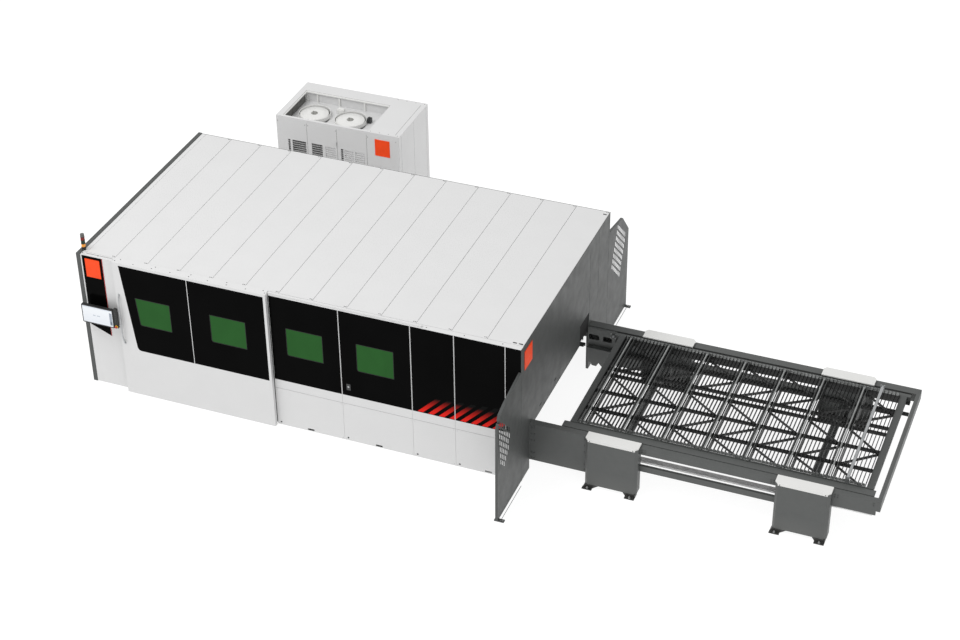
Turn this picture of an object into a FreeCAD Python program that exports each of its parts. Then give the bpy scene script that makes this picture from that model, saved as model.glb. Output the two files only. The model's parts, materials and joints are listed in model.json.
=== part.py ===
import FreeCAD, Part
import math
import os

V = FreeCAD.Vector
os.makedirs("parts", exist_ok=True)

# ---------------------------------------------------------------- sizes, mm
# Working frame: x from the left end, y from the front skin, z from the floor.
CABIN_HEIGHT = 2400.0
SKIN = 30.0             # folded cover panels
TUBE = 80.0             # square frame tube
ROOF_T = 6.0
ROOF_STRIPS = 13
SLAB_T = 70.0           # dark slab at the left end
WALL_T = 40.0           # end wall at the table end
GLAZE_T = 6.0           # black facing plates
SEAM = 3.0
SHEET = 5.0             # skin left in front of a pocket

# front, from left to right
CONTROL_W = 597.0
DOOR_W = 2568.0
DOOR_PROUD = 80.0
DOOR_T = 60.0
DOOR_TRAVEL = 2450.0
DOOR_SPLIT = 1263.0     # light line in the door's black facing
BAY_W = (1130.0, 1143.0, 684.0, 1040.0)
LAST_STRIP = 249.0      # facing strip beside the end wall
FACING_Z = 870.0        # lower edge of the black facing
BELT_Z = 706.0          # seam between lower panels and upper panels
WINDOW_Z0, WINDOW_Z1 = 1362.0, 1860.0
WINDOW_W = 602.0

DOOR_X0 = SLAB_T + CONTROL_W
DOOR_X1 = DOOR_X0 + DOOR_W
BAY_X = [DOOR_X1 + 15.0]
for width in BAY_W:
    BAY_X.append(BAY_X[-1] + width)
CABIN_LENGTH = BAY_X[-1]
LAST_SPLIT = CABIN_LENGTH - LAST_STRIP

# pallets and the two track levels
TRACK_Z = 520.0         # wheels of the lower pallet run here
LIFT_DROP = 208.0       # upper track level above the lower one
PALLET_LENGTH = 4500.0
PALLET_W = 2329.0
PALLET_H = 205.0        # from track to slat tips
PALLET_Y0 = 578.0
PALLET_Y1 = PALLET_Y0 + PALLET_W
PALLET_OUT_X = CABIN_LENGTH + 553.0
PALLET_IN_X = CABIN_LENGTH - 497.0 - PALLET_LENGTH
SLAT_T = 3.0
SLAT_H = 70.0
BAY_PITCH = 610.0
SLATS_PER_BAY = 10
WHEEL_R = 40.0
WHEEL_W = 40.0
RUN_GAP = 0.3
SIDE_GAP = 3.0          # pallet side to track edge
WHEEL_OUT = 58.0        # outer wheel face from the pallet side

# opening in the end wall
OPEN_Y0, OPEN_Y1 = PALLET_Y0 - 238.0, PALLET_Y1 + 128.0
OPEN_Z = TRACK_Z + PALLET_H + 20.0
NOTCH_Y = PALLET_Y1 - 307.0
NOTCH_Z = OPEN_Z + 365.0

# machine bed and gantry
BED_W = 160.0
BED_Z = 1000.0
BED_WALL = 20.0
BED_Y = [(PALLET_Y0 - 118.0 - BED_W, PALLET_Y0 - 118.0),
         (PALLET_Y1 + 113.0, PALLET_Y1 + 113.0 + BED_W)]
BED_X0, BED_X1 = 300.0, CABIN_LENGTH - 447.0
GANTRY_X = PALLET_IN_X + 50.0
GANTRY_W = 300.0
BACK_SPACE = 798.0      # behind the bed, for the extraction duct
CABIN_DEPTH = BED_Y[1][1] + BACK_SPACE

# shuttle table
TABLE_LENGTH = PALLET_LENGTH + 723.0
TABLE_END = CABIN_LENGTH + TABLE_LENGTH
BEAM_Y0, BEAM_Y1 = PALLET_Y0 - 245.0, PALLET_Y1 + 268.0
BEAM_TOP = 860.0
COL_W = 800.0
COL_X = [CABIN_LENGTH + 903.0, TABLE_END - 690.0 - COL_W]
COL_FRONT = (PALLET_Y0 - 348.0, PALLET_Y0 - 168.0)
COL_REAR = (PALLET_Y1 + 78.0, PALLET_Y1 + 278.0)
COL_Z0, COL_Z1 = 60.0, 880.0
CAR_Y0, CAR_Y1 = PALLET_Y0 - 131.0, PALLET_Y1 + 73.0
CAR_X0 = CABIN_LENGTH + 468.0
ANCHOR_R = 9.0

# supply cabinet behind the cabin
CAB_X0, CAB_W = 810.0, 2290.0
CAB_X1 = CAB_X0 + CAB_W
CAB_GAP, CAB_D = 1247.0, 1265.0
CAB_Y0 = CABIN_DEPTH + CAB_GAP
CAB_Y1 = CAB_Y0 + CAB_D
CAB_H = 2250.0
FAN_R = 262.0
WELL_DEPTH = 200.0
LOUVRE_BANKS = ((0.36, 0.95), (0.14, 0.95), (0.12, 0.92))   # shares of three bays
PORT_R = 125.0
PORT_X, PORT_Z = 5300.0, 520.0

# the part's own frame: centre of the footprint, floor level
WING_OUT = 972.0
X_MID = TABLE_END / 2.0
Y_MIN, Y_MAX = -WING_OUT, CAB_Y1
Y_MID = (Y_MIN + Y_MAX) / 2.0


# ------------------------------------------------------------------ helpers
def box(x0, x1, y0, y1, z0, z1):
    return Part.makeBox(x1 - x0, y1 - y0, z1 - z0, V(x0, y0, z0))


def cyl(r, length, at, axis):
    return Part.makeCylinder(r, length, V(*at), V(*axis))


def prism(points, axis, a, b):
    """Closed outline pushed from a to b along one axis; points hold the other
    two coordinates in x, y, z order."""
    def full(p):
        if axis == "x":
            return V(a, p[0], p[1])
        if axis == "y":
            return V(p[0], a, p[1])
        return V(p[0], p[1], a)
    pts = [full(p) for p in points]
    face = Part.Face(Part.makePolygon(pts + [pts[0]]))
    step = {"x": V(b - a, 0, 0), "y": V(0, b - a, 0), "z": V(0, 0, b - a)}
    return face.extrude(step[axis])


def rounded(points, radii, n=6):
    """Outline with an arc of straight runs at each corner that has a radius."""
    out = []
    for i, p in enumerate(points):
        r = radii[i]
        if r <= 0:
            out.append(p)
            continue
        a, b = points[i - 1], points[(i + 1) % len(points)]
        u = (a[0] - p[0], a[1] - p[1])
        w = (b[0] - p[0], b[1] - p[1])
        lu, lw = math.hypot(*u), math.hypot(*w)
        u, w = (u[0] / lu, u[1] / lu), (w[0] / lw, w[1] / lw)
        half = math.acos(max(-1.0, min(1.0, u[0] * w[0] + u[1] * w[1]))) / 2
        d = r / math.tan(half)
        m = (u[0] + w[0], u[1] + w[1])
        lm = math.hypot(*m)
        c = (p[0] + m[0] / lm * r / math.sin(half),
             p[1] + m[1] / lm * r / math.sin(half))
        s = (p[0] + u[0] * d, p[1] + u[1] * d)
        e = (p[0] + w[0] * d, p[1] + w[1] * d)
        a0 = math.atan2(s[1] - c[1], s[0] - c[0])
        a1 = math.atan2(e[1] - c[1], e[0] - c[0])
        while a1 - a0 > math.pi:
            a1 -= 2 * math.pi
        while a1 - a0 < -math.pi:
            a1 += 2 * math.pi
        for k in range(n + 1):
            t = a0 + (a1 - a0) * k / n
            out.append((c[0] + r * math.cos(t), c[1] + r * math.sin(t)))
    return out


def fuse(shapes):
    first = shapes[0]
    if len(shapes) == 1:
        return first
    return first.fuse(shapes[1:]).removeSplitter()


def cut(shape, tools):
    return shape.cut(Part.makeCompound(tools))


def many(shapes):
    return Part.makeCompound(shapes)


def bar(p, q, width, z0, z1):
    """Flat bar in plan from p to q."""
    dx, dy = q[0] - p[0], q[1] - p[1]
    ln = math.hypot(dx, dy)
    nx, ny = -dy / ln * width / 2, dx / ln * width / 2
    return prism([(p[0] + nx, p[1] + ny), (q[0] + nx, q[1] + ny),
                  (q[0] - nx, q[1] - ny), (p[0] - nx, p[1] - ny)], "z", z0, z1)


NODES = {}


def node(name, shape):
    NODES[name] = shape


# --------------------------------------------------------------- the cabin
SKIN_TOP = CABIN_HEIGHT - ROOF_T
FRAME_TOP = SKIN_TOP
END_X = CABIN_LENGTH - WALL_T


def window(x_left_top, x_left_bottom, x_right, grow=0.0):
    pts = [(x_left_bottom - grow, WINDOW_Z0 - grow), (x_right + grow, WINDOW_Z0 - grow),
           (x_right + grow, WINDOW_Z1 + grow), (x_left_top - grow, WINDOW_Z1 + grow)]
    return rounded(pts, [40, 12, 12, 12])


def cabin_frame():
    """Welded frame, one solid for each tube."""
    y0, y1 = SKIN, SKIN + TUBE
    b0, b1 = CABIN_DEPTH - SKIN - TUBE, CABIN_DEPTH - SKIN
    top = FRAME_TOP - TUBE
    xs = [SLAB_T, DOOR_X0 - TUBE, BAY_X[0] + 20]
    xs += [x - TUBE / 2 for x in BAY_X[1:4]] + [END_X - TUBE]
    parts = []
    for x in xs:
        parts.append(box(x, x + TUBE, y0, y1, 100, top))
        parts.append(cyl(38, 20, (x + TUBE / 2, y0 + TUBE / 2, 0), (0, 0, 1)))
    step = (END_X - TUBE - SLAB_T) / 5.0
    for i in range(6):
        x = SLAB_T + i * step
        parts.append(box(x, x + TUBE, b0, b1, 100, top))
        parts.append(cyl(38, 20, (x + TUBE / 2, b0 + TUBE / 2, 0), (0, 0, 1)))
        parts.append(box(x, x + TUBE, y1, b0, top, FRAME_TOP))
    for a, b in ((y0, y1), (b0, b1)):
        parts.append(box(SLAB_T, END_X, a, b, 20, 100))
        parts.append(box(SLAB_T, END_X, a, b, top, FRAME_TOP))
    parts.append(box(SLAB_T, SLAB_T + TUBE, y1, b0, 20, 100))
    parts.append(box(END_X - TUBE, END_X, y1, b0, NOTCH_Z + 25, NOTCH_Z + 25 + TUBE))
    parts.append(box(DOOR_X0, BAY_X[0] + 20, y0, y0 + 20, 100, BELT_Z - 6))
    node("cabin_frame", many(parts))


def roof():
    x0 = SLAB_T + SEAM
    pitch = (CABIN_LENGTH - x0 + SEAM) / ROOF_STRIPS
    strips = [box(x0 + i * pitch, x0 + (i + 1) * pitch - SEAM - 1, 0, CABIN_DEPTH,
                  SKIN_TOP, CABIN_HEIGHT) for i in range(ROOF_STRIPS)]
    node("roof_panels", many(strips))


def left_end():
    slab = box(0, SLAB_T, -6, CABIN_DEPTH + 6, 12, CABIN_HEIGHT + 8)
    node("left_slab", slab.cut(box(SHEET, SLAB_T + 1, 34, CABIN_DEPTH - 34,
                                   52, CABIN_HEIGHT - 32)))
    gx0, gx1 = 98.0, 444.0
    glass = prism([(gx0, 1118), (gx1, 973), (gx1, SKIN_TOP - 4), (gx0, SKIN_TOP - 4)],
                  "y", -4, 0)
    node("control_facing", glass)


def sign_plates():
    top = CABIN_HEIGHT - 50
    front = box(148, 400, -10, -4, top - 332, top - 5)
    end = box(CABIN_LENGTH, CABIN_LENGTH + 6, 130, 440, top - 395, top - 70)
    cab = box(CAB_X1 - 446, CAB_X1 - 174, CAB_Y0 - 6, CAB_Y0,
              CAB_H - 425, CAB_H - 112)
    node("sign_plates", many([front, end, cab]))


def bay_panel(x0, x1, splits=(), hole=None, back=SKIN):
    """White upper panel: a band below, thin rims, and a pocket for the black plates."""
    rim = 5.0
    solid = [box(x0, x1, GLAZE_T, back, BELT_Z + 6, SKIN_TOP),
             box(x0, x1, 0, GLAZE_T, BELT_Z + 6, FACING_Z),
             box(x0, x1, 0, GLAZE_T, SKIN_TOP - 4, SKIN_TOP),
             box(x0, x0 + rim, 0, GLAZE_T, FACING_Z, SKIN_TOP - 4),
             box(x1 - rim, x1, 0, GLAZE_T, FACING_Z, SKIN_TOP - 4)]
    for s in splits:
        solid.append(box(s - 5, s + 5, 0, GLAZE_T, FACING_Z, SKIN_TOP - 4))
    shape = fuse(solid)
    edges = [x0 + rim] + [e for s in splits for e in (s - 5, s + 5)] + [x1 - rim]
    plates = [box(edges[i], edges[i + 1], 0, GLAZE_T, FACING_Z, SKIN_TOP - 4)
              for i in range(0, len(edges), 2)]
    pane = None
    if hole:
        plates[0] = plates[0].cut(prism(window(*hole), "y", -1, GLAZE_T + 1))
        pane = prism(window(*hole), "y", 1.5, GLAZE_T)
        shape = shape.cut(prism(window(*hole, grow=-18), "y", -1, SKIN + 5))
    return shape, plates, pane


def front_right():
    half = SEAM / 2
    bays = [(BAY_X[i] + (half if i else 0), BAY_X[i + 1] - (half if i < 3 else 0))
            for i in range(4)]
    w3 = BAY_X[0] + 250
    w4 = BAY_X[1] + 267
    white, black = [box(SLAB_T + SEAM, DOOR_X0 - SEAM, 0, SKIN, 20, SKIN_TOP)], []
    shape, plates, pane = bay_panel(*bays[0], hole=(w3, w3, w3 + WINDOW_W))
    white.append(shape)
    black += plates
    node("front_pane", pane)
    for i in (2, 3):
        splits = (LAST_SPLIT,) if i == 3 else ()
        shape, plates, _ = bay_panel(*bays[i], splits=splits)
        white.append(shape)
        black += plates
    for i, (x0, x1) in enumerate(bays):
        low = box(x0, x1, 0, SKIN, 15, BELT_Z)
        if i != 2:
            c = x0 + 0.5 * (x1 - x0)
            low = low.cut(box(c - 55, c + 55, -1, SKIN + 1, 26, 58))
        white.append(low)
    node("front_panels", many(white))
    node("front_facing", many(black))

    # red diagonal stripes, cut at the light splits
    fields = [(bays[2][0] + 5, bays[2][1] - 5), (bays[3][0] + 5, LAST_SPLIT - 5)]
    stripes = []
    start = BAY_X[2] + 82
    for i in range(9):
        h = 300 + 16 * i
        x = start + 170 * i
        para = prism([(x, FACING_Z + 10), (x + 88, FACING_Z + 10),
                      (x + 88 + h, FACING_Z + 10 + h), (x + h, FACING_Z + 10 + h)],
                     "y", -1.5, 0)
        for a, b in fields:
            piece = para.common(box(a, b, -3, 1, FACING_Z + 10, SKIN_TOP - 10))
            stripes += [s for s in piece.Solids if s.Volume > 2000]
    node("red_stripes", many(stripes))

    # hinged service door in the second bay
    shape, plates, pane = bay_panel(*bays[1], hole=(w4, w4, w4 + WINDOW_W), back=SKIN - 0.5)
    node("service_panel", shape)
    node("service_facing", plates[0])
    node("service_pane", pane)
    lx = bays[1][0] + 78
    latch = [box(lx, lx + 65, -4, 0, 974, 1086), box(lx + 14, lx + 51, -12, -4, 990, 1040)]
    node("service_latch", fuse(latch))


def sliding_door():
    y0 = -DOOR_PROUD
    y1 = y0 + DOOR_T
    top = CABIN_HEIGHT + 28
    slab = box(DOOR_X0, DOOR_X1, y0 + GLAZE_T, y1, 12, top).cut(
        box(DOOR_X0 + 50, DOOR_X1 - 50, y0 + GLAZE_T + SHEET, y1 + 1, 60, top - 60))
    face = box(DOOR_X0, DOOR_X1, y0, y0 + GLAZE_T, 12, top)
    fz1 = CABIN_HEIGHT - 5
    lt, lb = DOOR_X0 + 106, DOOR_X0 + 280
    mid = DOOR_X0 + DOOR_SPLIT
    right = DOOR_X1 - 29
    left_plate = rounded([(lb, FACING_Z), (mid - 5, FACING_Z), (mid - 5, fz1), (lt, fz1)],
                         [70, 0, 0, 0])
    right_plate = [(mid + 5, FACING_Z), (right, FACING_Z), (right, fz1), (mid + 5, fz1)]
    w1 = (DOOR_X0 + 331, DOOR_X0 + 379, DOOR_X0 + 928)
    w2x = DOOR_X1 - 964
    w2 = (w2x, w2x, w2x + WINDOW_W)
    plates, panes = [], []
    for outline, hole in ((left_plate, w1), (right_plate, w2)):
        face = face.cut(prism(outline, "y", y0 - 1, y0 + GLAZE_T + 1))
        plate = prism(outline, "y", y0, y0 + GLAZE_T)
        plates.append(plate.cut(prism(window(*hole), "y", y0 - 1, y0 + GLAZE_T + 1)))
        panes.append(prism(window(*hole), "y", y0 + 1.5, y0 + GLAZE_T))
        slab = slab.cut(prism(window(*hole, grow=-18), "y", y0 - 1, y1 + 1))
    flange = box(DOOR_X0, DOOR_X1, y0, 56, top, top + 12)
    edge = box(DOOR_X1, DOOR_X1 + 12, y0, y1 + 4, 12, top + 12)
    node("door_panel", many([fuse([slab, face, edge]), flange]))
    node("door_facing", many(plates))
    node("door_panes", many(panes))
    hx = DOOR_X0 + 62
    grip = cyl(13, 900, (hx, y0 - 52, 960), (0, 0, 1))
    stubs = [cyl(11, 52, (hx, y0 - 52, z), (0, 1, 0)) for z in (985, 1835)]
    node("door_handle", fuse([grip] + stubs))
    rail_x1 = DOOR_X1 + DOOR_TRAVEL + 20
    rail = box(DOOR_X0 - 40, rail_x1, 12, 44, CABIN_HEIGHT, top - 0.5)
    node("door_rail", rail)


def operator_panel():
    px, py = 330.0, -75.0
    z0 = 1360.0
    plate = box(px - 40, px + 40, -12, -4, z0 - 10, z0 + 140)
    arms = []
    for z in (z0, z0 + 90):
        arms.append(box(px - 24, px + 24, py, -12, z, z + 40))
        arms.append(cyl(24, 40, (px, py, z), (0, 0, 1)))
    node("hmi_bracket", fuse([plate] + arms))
    hub = [cyl(24, 49, (px, py, z0 + 40.5), (0, 0, 1)),
           box(px - 24, px + 24, -112, py, z0 + 40.5, z0 + 89.5)]
    outline = rounded([(67, 1255), (623, 1255), (623, 1588), (67, 1588)], [14] * 4)
    case = prism(outline, "y", -160, -112)
    grip = prism(rounded([(623, 1262), (690, 1262), (690, 1622), (640, 1622), (623, 1600)],
                         [0, 12, 14, 8, 0]), "y", -152, -118)
    node("hmi_case", fuse(hub + [case, grip]))
    node("hmi_screen", prism(rounded([(84, 1276), (606, 1276), (606, 1572), (84, 1572)],
                                     [8] * 4), "y", -162, -160))
    keys = [cyl(24, 5, (656, -152, 1290), (0, -1, 0)).cut(
        cyl(8.4, 7, (656, -151, 1290), (0, -1, 0)))]
    for z in (1345, 1385, 1425, 1465, 1505, 1545):
        keys.append(cyl(9, 5, (656, -152, z), (0, -1, 0)))
    node("hmi_keys", many(keys))
    stem = cyl(8, 12, (656, -157, 1290), (0, -1, 0))
    head = cyl(19, 12, (656, -169, 1290), (0, -1, 0))
    node("hmi_estop", fuse([stem, head]))


def signal_tower():
    x, y, z = 67.0, 132.0, CABIN_HEIGHT + 8
    base = [cyl(34, 52, (x, y, z), (0, 0, 1))]
    levels = [("tower_lens_amber", z + 52), ("tower_lens_green", z + 112),
              ("tower_lens_red", z + 172)]
    body = base
    for name, zz in levels:
        node(name, cyl(32, 52, (x, y, zz), (0, 0, 1)))
        body.append(cyl(34, 8, (x, y, zz + 52), (0, 0, 1)))
    body.append(cyl(32, 46, (x, y, z + 232), (0, 0, 1)))
    node("tower_body", many([body[0], body[1], body[2], fuse([body[3], body[4]])]))


def end_wall():
    y1 = CABIN_DEPTH - SKIN
    z0, z1 = 15.0, SKIN_TOP
    outline = [(SKIN, z0), (OPEN_Y0, z0), (OPEN_Y0, OPEN_Z), (NOTCH_Y, OPEN_Z),
               (NOTCH_Y, NOTCH_Z), (OPEN_Y1, NOTCH_Z), (OPEN_Y1, z0), (y1, z0),
               (y1, z1), (SKIN, z1)]
    wall = prism(outline, "x", END_X, CABIN_LENGTH)
    grooves = [box(CABIN_LENGTH - 3, CABIN_LENGTH + 1, y - 2, y + 2, NOTCH_Z, z1)
               for y in (OPEN_Y1 + 5, OPEN_Y1 + 415)]
    slots = [box(END_X - 1, CABIN_LENGTH + 1, y, y + 60, OPEN_Z + 18, OPEN_Z + 36)
             for y in (960, 1630)]
    pocket = box(END_X - 1, CABIN_LENGTH - SHEET - 3, SKIN + 40, y1 - 40,
                 NOTCH_Z + 40, z1 - 40)
    node("end_wall", cut(wall, grooves + slots + [pocket]))


def wing(name, outline, rows, foot_y, sign):
    plate = prism(outline, "x", END_X, CABIN_LENGTH)
    pocket = prism(outline, "x", END_X - 1, CABIN_LENGTH - 4)
    for dy, dz in ((-26, -26), (26, -26), (26, 26), (-26, 26)):
        pocket = pocket.common(pocket.translated(FreeCAD.Vector(0, dy, dz)))
    plate = plate.cut(pocket)
    holes = []
    for y, z, count in rows:
        for k in range(count):
            a, b = y + 65 * k, z - 63 * k
            holes.append(prism([(a, b), (a + 40, b - 39), (a + 40, b + 41), (a, b + 80)],
                               "x", END_X - 1, CABIN_LENGTH + 1))
    plate = cut(plate, holes)
    f0, f1 = sorted((foot_y, foot_y + sign * 60))
    foot = box(END_X - 20, CABIN_LENGTH + 90, f0, f1, 0, 17)
    node(name, many([plate, foot]))


def wings():
    top = 1993.0
    w = WING_OUT
    front = [(0, 17), (0, top + 5), (-60, top), (-633, 1907), (124 - w, 1846),
             (26 - w, 1649), (-w, 17)]
    rows = [(-905 + 10 * i, 1700 - 122 * i, n) for i, n in
            enumerate((7, 7, 6, 6, 5, 4, 3))]
    wing("wing_front", front, rows, -w, 1)
    d = CABIN_DEPTH
    rear = [(d, 17), (d + 1002, 17), (d + 1006, 1517), (d + 672, 1901), (d + 60, 2009),
            (d, 2012)]
    rows = [(d + 417 - 37 * i, 1850 - 87 * i, 7) for i in range(8)]
    wing("wing_rear", rear, rows, d + 1002, -1)


def back_side():
    x0, x1 = SLAB_T + SEAM, CABIN_LENGTH
    n = 6
    pitch = (x1 - x0 + SEAM) / n
    panels = []
    for i in range(n):
        a, b = x0 + i * pitch, x0 + (i + 1) * pitch - SEAM
        p = box(a, b, CABIN_DEPTH - SKIN, CABIN_DEPTH, 15, SKIN_TOP)
        if a + PORT_R + 60 < PORT_X < b - PORT_R - 60:
            p = p.cut(cyl(PORT_R + 6, SKIN + 2, (PORT_X, CABIN_DEPTH - SKIN - 1, PORT_Z),
                          (0, 1, 0)))
        p = p.cut(box(a + 20, b - 20, CABIN_DEPTH - SKIN - 1, CABIN_DEPTH - SHEET,
                      35, SKIN_TOP - 20))
        slots = [box(a + 180, b - 180, CABIN_DEPTH - SKIN - 1, CABIN_DEPTH + 1,
                     SKIN_TOP - 494 + 50 * k, SKIN_TOP - 476 + 50 * k) for k in range(6)]
        panels.append(cut(p, slots))
    node("back_panels", many(panels))


# ---------------------------------------------------- machine inside the cabin
def machine_bed():
    parts = []
    for y0, y1 in BED_Y:
        parts.append(box(BED_X0, BED_X1, y0, y1, 60, BED_Z).cut(
            box(BED_X0 + BED_WALL, BED_X1 - BED_WALL, y0 + BED_WALL, y1 - BED_WALL,
                59, BED_Z - BED_WALL)))
        for x in (BED_X0 + 60, 0.5 * (BED_X0 + BED_X1), BED_X1 - 160):
            parts.append(box(x, x + 100, y0, y1, 0, 60))
    for x in (BED_X0, PALLET_IN_X - 150, BED_X1 - 120):
        parts.append(box(x, x + 120, BED_Y[0][1], BED_Y[1][0], 80, 200))
    for y in (BED_Y[0][1] + 500, BED_Y[1][0] - 560):
        parts.append(box(PALLET_IN_X - 30, BED_X1 - 120, y, y + 60, 80, 200))
    node("machine_bed", many(parts))
    rails = []
    for y0, y1 in BED_Y:
        c = 0.5 * (y0 + y1)
        rails.append(box(BED_X0 + 20, BED_X1 - 20, c - 20, c + 20, BED_Z, BED_Z + 30))
        rails.append(box(BED_X0 + 20, BED_X1 - 20, c + 35, c + 60, BED_Z, BED_Z + 22))
    node("x_rails", many(rails))
    x0, x1 = PALLET_IN_X - 80, END_X - 4
    tracks = []
    for a, b, w in ((BED_Y[0][1], PALLET_Y0 - 16, 1), (PALLET_Y1 + 5, BED_Y[1][0], -1)):
        shape = [box(x0, x1, a, b, TRACK_Z - 10, TRACK_Z)]
        wa, wb = (a, a + 10) if w > 0 else (b - 10, b)
        shape.append(box(x0, x1, wa, wb, TRACK_Z - 60, TRACK_Z - 10))
        tracks.append(fuse(shape))
    node("cabin_tracks", many(tracks))
    trays = []
    y0, y1 = BED_Y[0][1] + 20, BED_Y[1][0] - 20
    span = (BED_X1 - 140 - PALLET_IN_X) / 3.0
    for i in range(3):
        a = PALLET_IN_X + i * span + 10
        b = a + span - 20
        trays.append(box(a, b, y0, y1, 200, 420).cut(
            box(a + 6, b - 6, y0 + 6, y1 - 6, 206, 421)))
    node("scrap_trays", many(trays))
    y = BED_Y[1][1]
    dy = BACK_SPACE - SKIN - TUBE - 308
    duct = box(BED_X0 + 1700, PORT_X + 220, y, y + dy, PORT_Z - 190, PORT_Z + 190)
    duct = duct.cut(box(BED_X0 + 1699, PORT_X + 212, y + 8, y + dy - 8,
                        PORT_Z - 182, PORT_Z + 182))
    pipe = cyl(PORT_R + 5, CABIN_DEPTH + 60 - (y + dy - 8), (PORT_X, y + dy - 8, PORT_Z),
               (0, 1, 0))
    bore = cyl(PORT_R, CABIN_DEPTH + 90 - y, (PORT_X, y + dy / 2, PORT_Z), (0, 1, 0))
    node("extraction_duct", fuse([duct, pipe]).cut(bore))


def gantry():
    x0, x1 = GANTRY_X, GANTRY_X + GANTRY_W
    z0, z1 = BED_Z + 80, BED_Z + 330
    y0, y1 = BED_Y[0][0] + 20, BED_Y[1][1] - 20
    beam = box(x0 + 20, x1 - 20, y0, y1, z0, z1)
    pockets = []
    n = 7
    pitch = (y1 - y0 - 200) / n
    for i in range(n):
        a = y0 + 120 + i * pitch
        pockets.append(prism([(a, z0 + 40), (a + pitch - 60, z0 + 40),
                              (a + pitch - 30, z1 - 40), (a + 30, z1 - 40)],
                             "x", x0 + 10, x0 + 32))
    beam = cut(beam, pockets)
    parts = [beam]
    for a, b in BED_Y:
        c = 0.5 * (a + b)
        for x in (x0, x1 - 110):
            shoe = box(x, x + 110, c - 38, c + 32, BED_Z + 1, z0)
            shoe = shoe.cut(box(x - 1, x + 111, c - 20.5, c + 20.5, BED_Z, BED_Z + 30.5))
            parts.append(shoe)
    rails = [box(x1 - 20, x1 - 2, y0 + 60, y1 - 60, z, z + 24) for z in (z0 + 20, z1 - 44)]
    tray = box(x0 + 30, x0 + 150, y0 + 60, y1 - 60, z1, z1 + 60)
    tray = tray.cut(box(x0 + 36, x0 + 144, y0 + 66, y1 - 66, z1 + 6, z1 + 61))
    node("gantry_beam", fuse(parts + rails + [tray]))
    c = 0.5 * (y0 + y1)
    cx = x1 - 1.5
    plate = box(cx, cx + 40, c - 110, c + 110, z0 - 30, z1 + 60)
    arm = box(cx - 160, cx, c - 60, c + 60, z1 + 61, z1 + 90)
    web = box(cx, cx + 40, c - 60, c + 60, z1 + 60, z1 + 90)
    guides = [box(cx + 40, cx + 56, c + s - 12, c + s + 12, z0 - 20, z1 + 50)
              for s in (-60, 60)]
    node("y_carriage", fuse([plate, arm, web] + guides))
    hx = cx + 56.5
    body = box(hx, hx + 36, c - 85, c + 85, z0 - 10, z1 + 20)
    shoes = [box(hx - 12, hx, c + s - 24, c + s - 12.5, z0 + 20, z1 - 20) for s in (-60, 60)]
    shoes += [box(hx - 12, hx, c + s + 12.5, c + s + 24, z0 + 20, z1 - 20) for s in (-60, 60)]
    optic = box(hx + 36, hx + 116, c - 45, c + 45, z0 - 60, z1 + 60)
    tip_z = TRACK_Z + PALLET_H + 125
    neck = cyl(28, z0 - 60 - tip_z - 40, (hx + 76, c, tip_z + 40), (0, 0, 1))
    cone = Part.makeCone(6, 28, 40, V(hx + 76, c, tip_z), V(0, 0, 1))
    node("cutting_head", fuse([body, optic, neck, cone] + shoes))


# ------------------------------------------------------------ shuttle table
def lift_carriage():
    """Two levels of track along both sides and cross beams below, one solid a member."""
    x1 = TABLE_END - 120
    up, lo = TRACK_Z + LIFT_DROP, TRACK_Z
    parts = []
    for y_web, y_in in ((CAR_Y0, PALLET_Y0 - SIDE_GAP), (CAR_Y1, PALLET_Y1 + SIDE_GAP)):
        s = 1 if y_in > y_web else -1
        a, b = sorted((y_web, y_web + s * 10))
        c, d = sorted((y_web + s * 10, y_in))
        parts.append(box(CAR_X0, x1, a, b, up - 8, BEAM_TOP + 8))
        parts.append(box(CAR_X0, x1, c, d, BEAM_TOP, BEAM_TOP + 8))
        parts.append(box(CAR_X0, x1, c, d, up - 8, up))
        parts.append(box(CABIN_LENGTH + 15, x1, a, b, lo - 8, lo + 18))
        parts.append(box(CABIN_LENGTH + 15, x1, c, d, lo - 8, lo))
        for cx in COL_X:
            parts.append(box(cx + 50, cx + COL_W - 50, a, b, lo + 18, up - 8))
            reach = 47 if s > 0 else 110
            p, q = sorted((y_web - s * reach, y_web))
            m = cx + COL_W / 2
            parts.append(box(m - 59.5, m + 59.5, p, q, lo + 40, up + 130))
    for cx in COL_X:
        m = cx + COL_W / 2
        parts.append(box(m - 50, m + 50, CAR_Y0, CAR_Y1, lo - 80, lo - 8))
    node("lift_carriage", many(parts))


def table_structure():
    x0 = CABIN_LENGTH
    c0, c1 = COL_X
    xe = TABLE_END - 60
    runs = [(x0, c0, 188.0), (c0 + COL_W, c1, 750.0), (c1 + COL_W, xe, 625.0)]
    beams = []
    for a, b, low in runs:
        front = [box(a, b, BEAM_Y0, BEAM_Y0 + 12, low, BEAM_TOP - 12),
                 box(a, b, BEAM_Y0, BEAM_Y0 + 107, BEAM_TOP - 12, BEAM_TOP)]
        rear = [box(a, b, BEAM_Y1 - 12, BEAM_Y1, low, BEAM_TOP - 12),
                box(a, b, BEAM_Y1 - 140, BEAM_Y1, BEAM_TOP - 12, BEAM_TOP)]
        if low < 500:
            front.append(box(a, b, BEAM_Y0 + 12, BEAM_Y0 + 107, low, low + 12))
            rear.append(box(a, b, BEAM_Y1 - 140, BEAM_Y1 - 12, low, low + 12))
        beams += front + rear
    beams.append(box(xe, TABLE_END, BEAM_Y0, BEAM_Y1, 700, BEAM_TOP))
    ties = [box(c0 + COL_W, c1, y, y + 45, 420, 520)
            for y in (COL_FRONT[1] - 50, COL_REAR[0] + 95)]
    node("table_beams", many(beams + ties))


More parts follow.
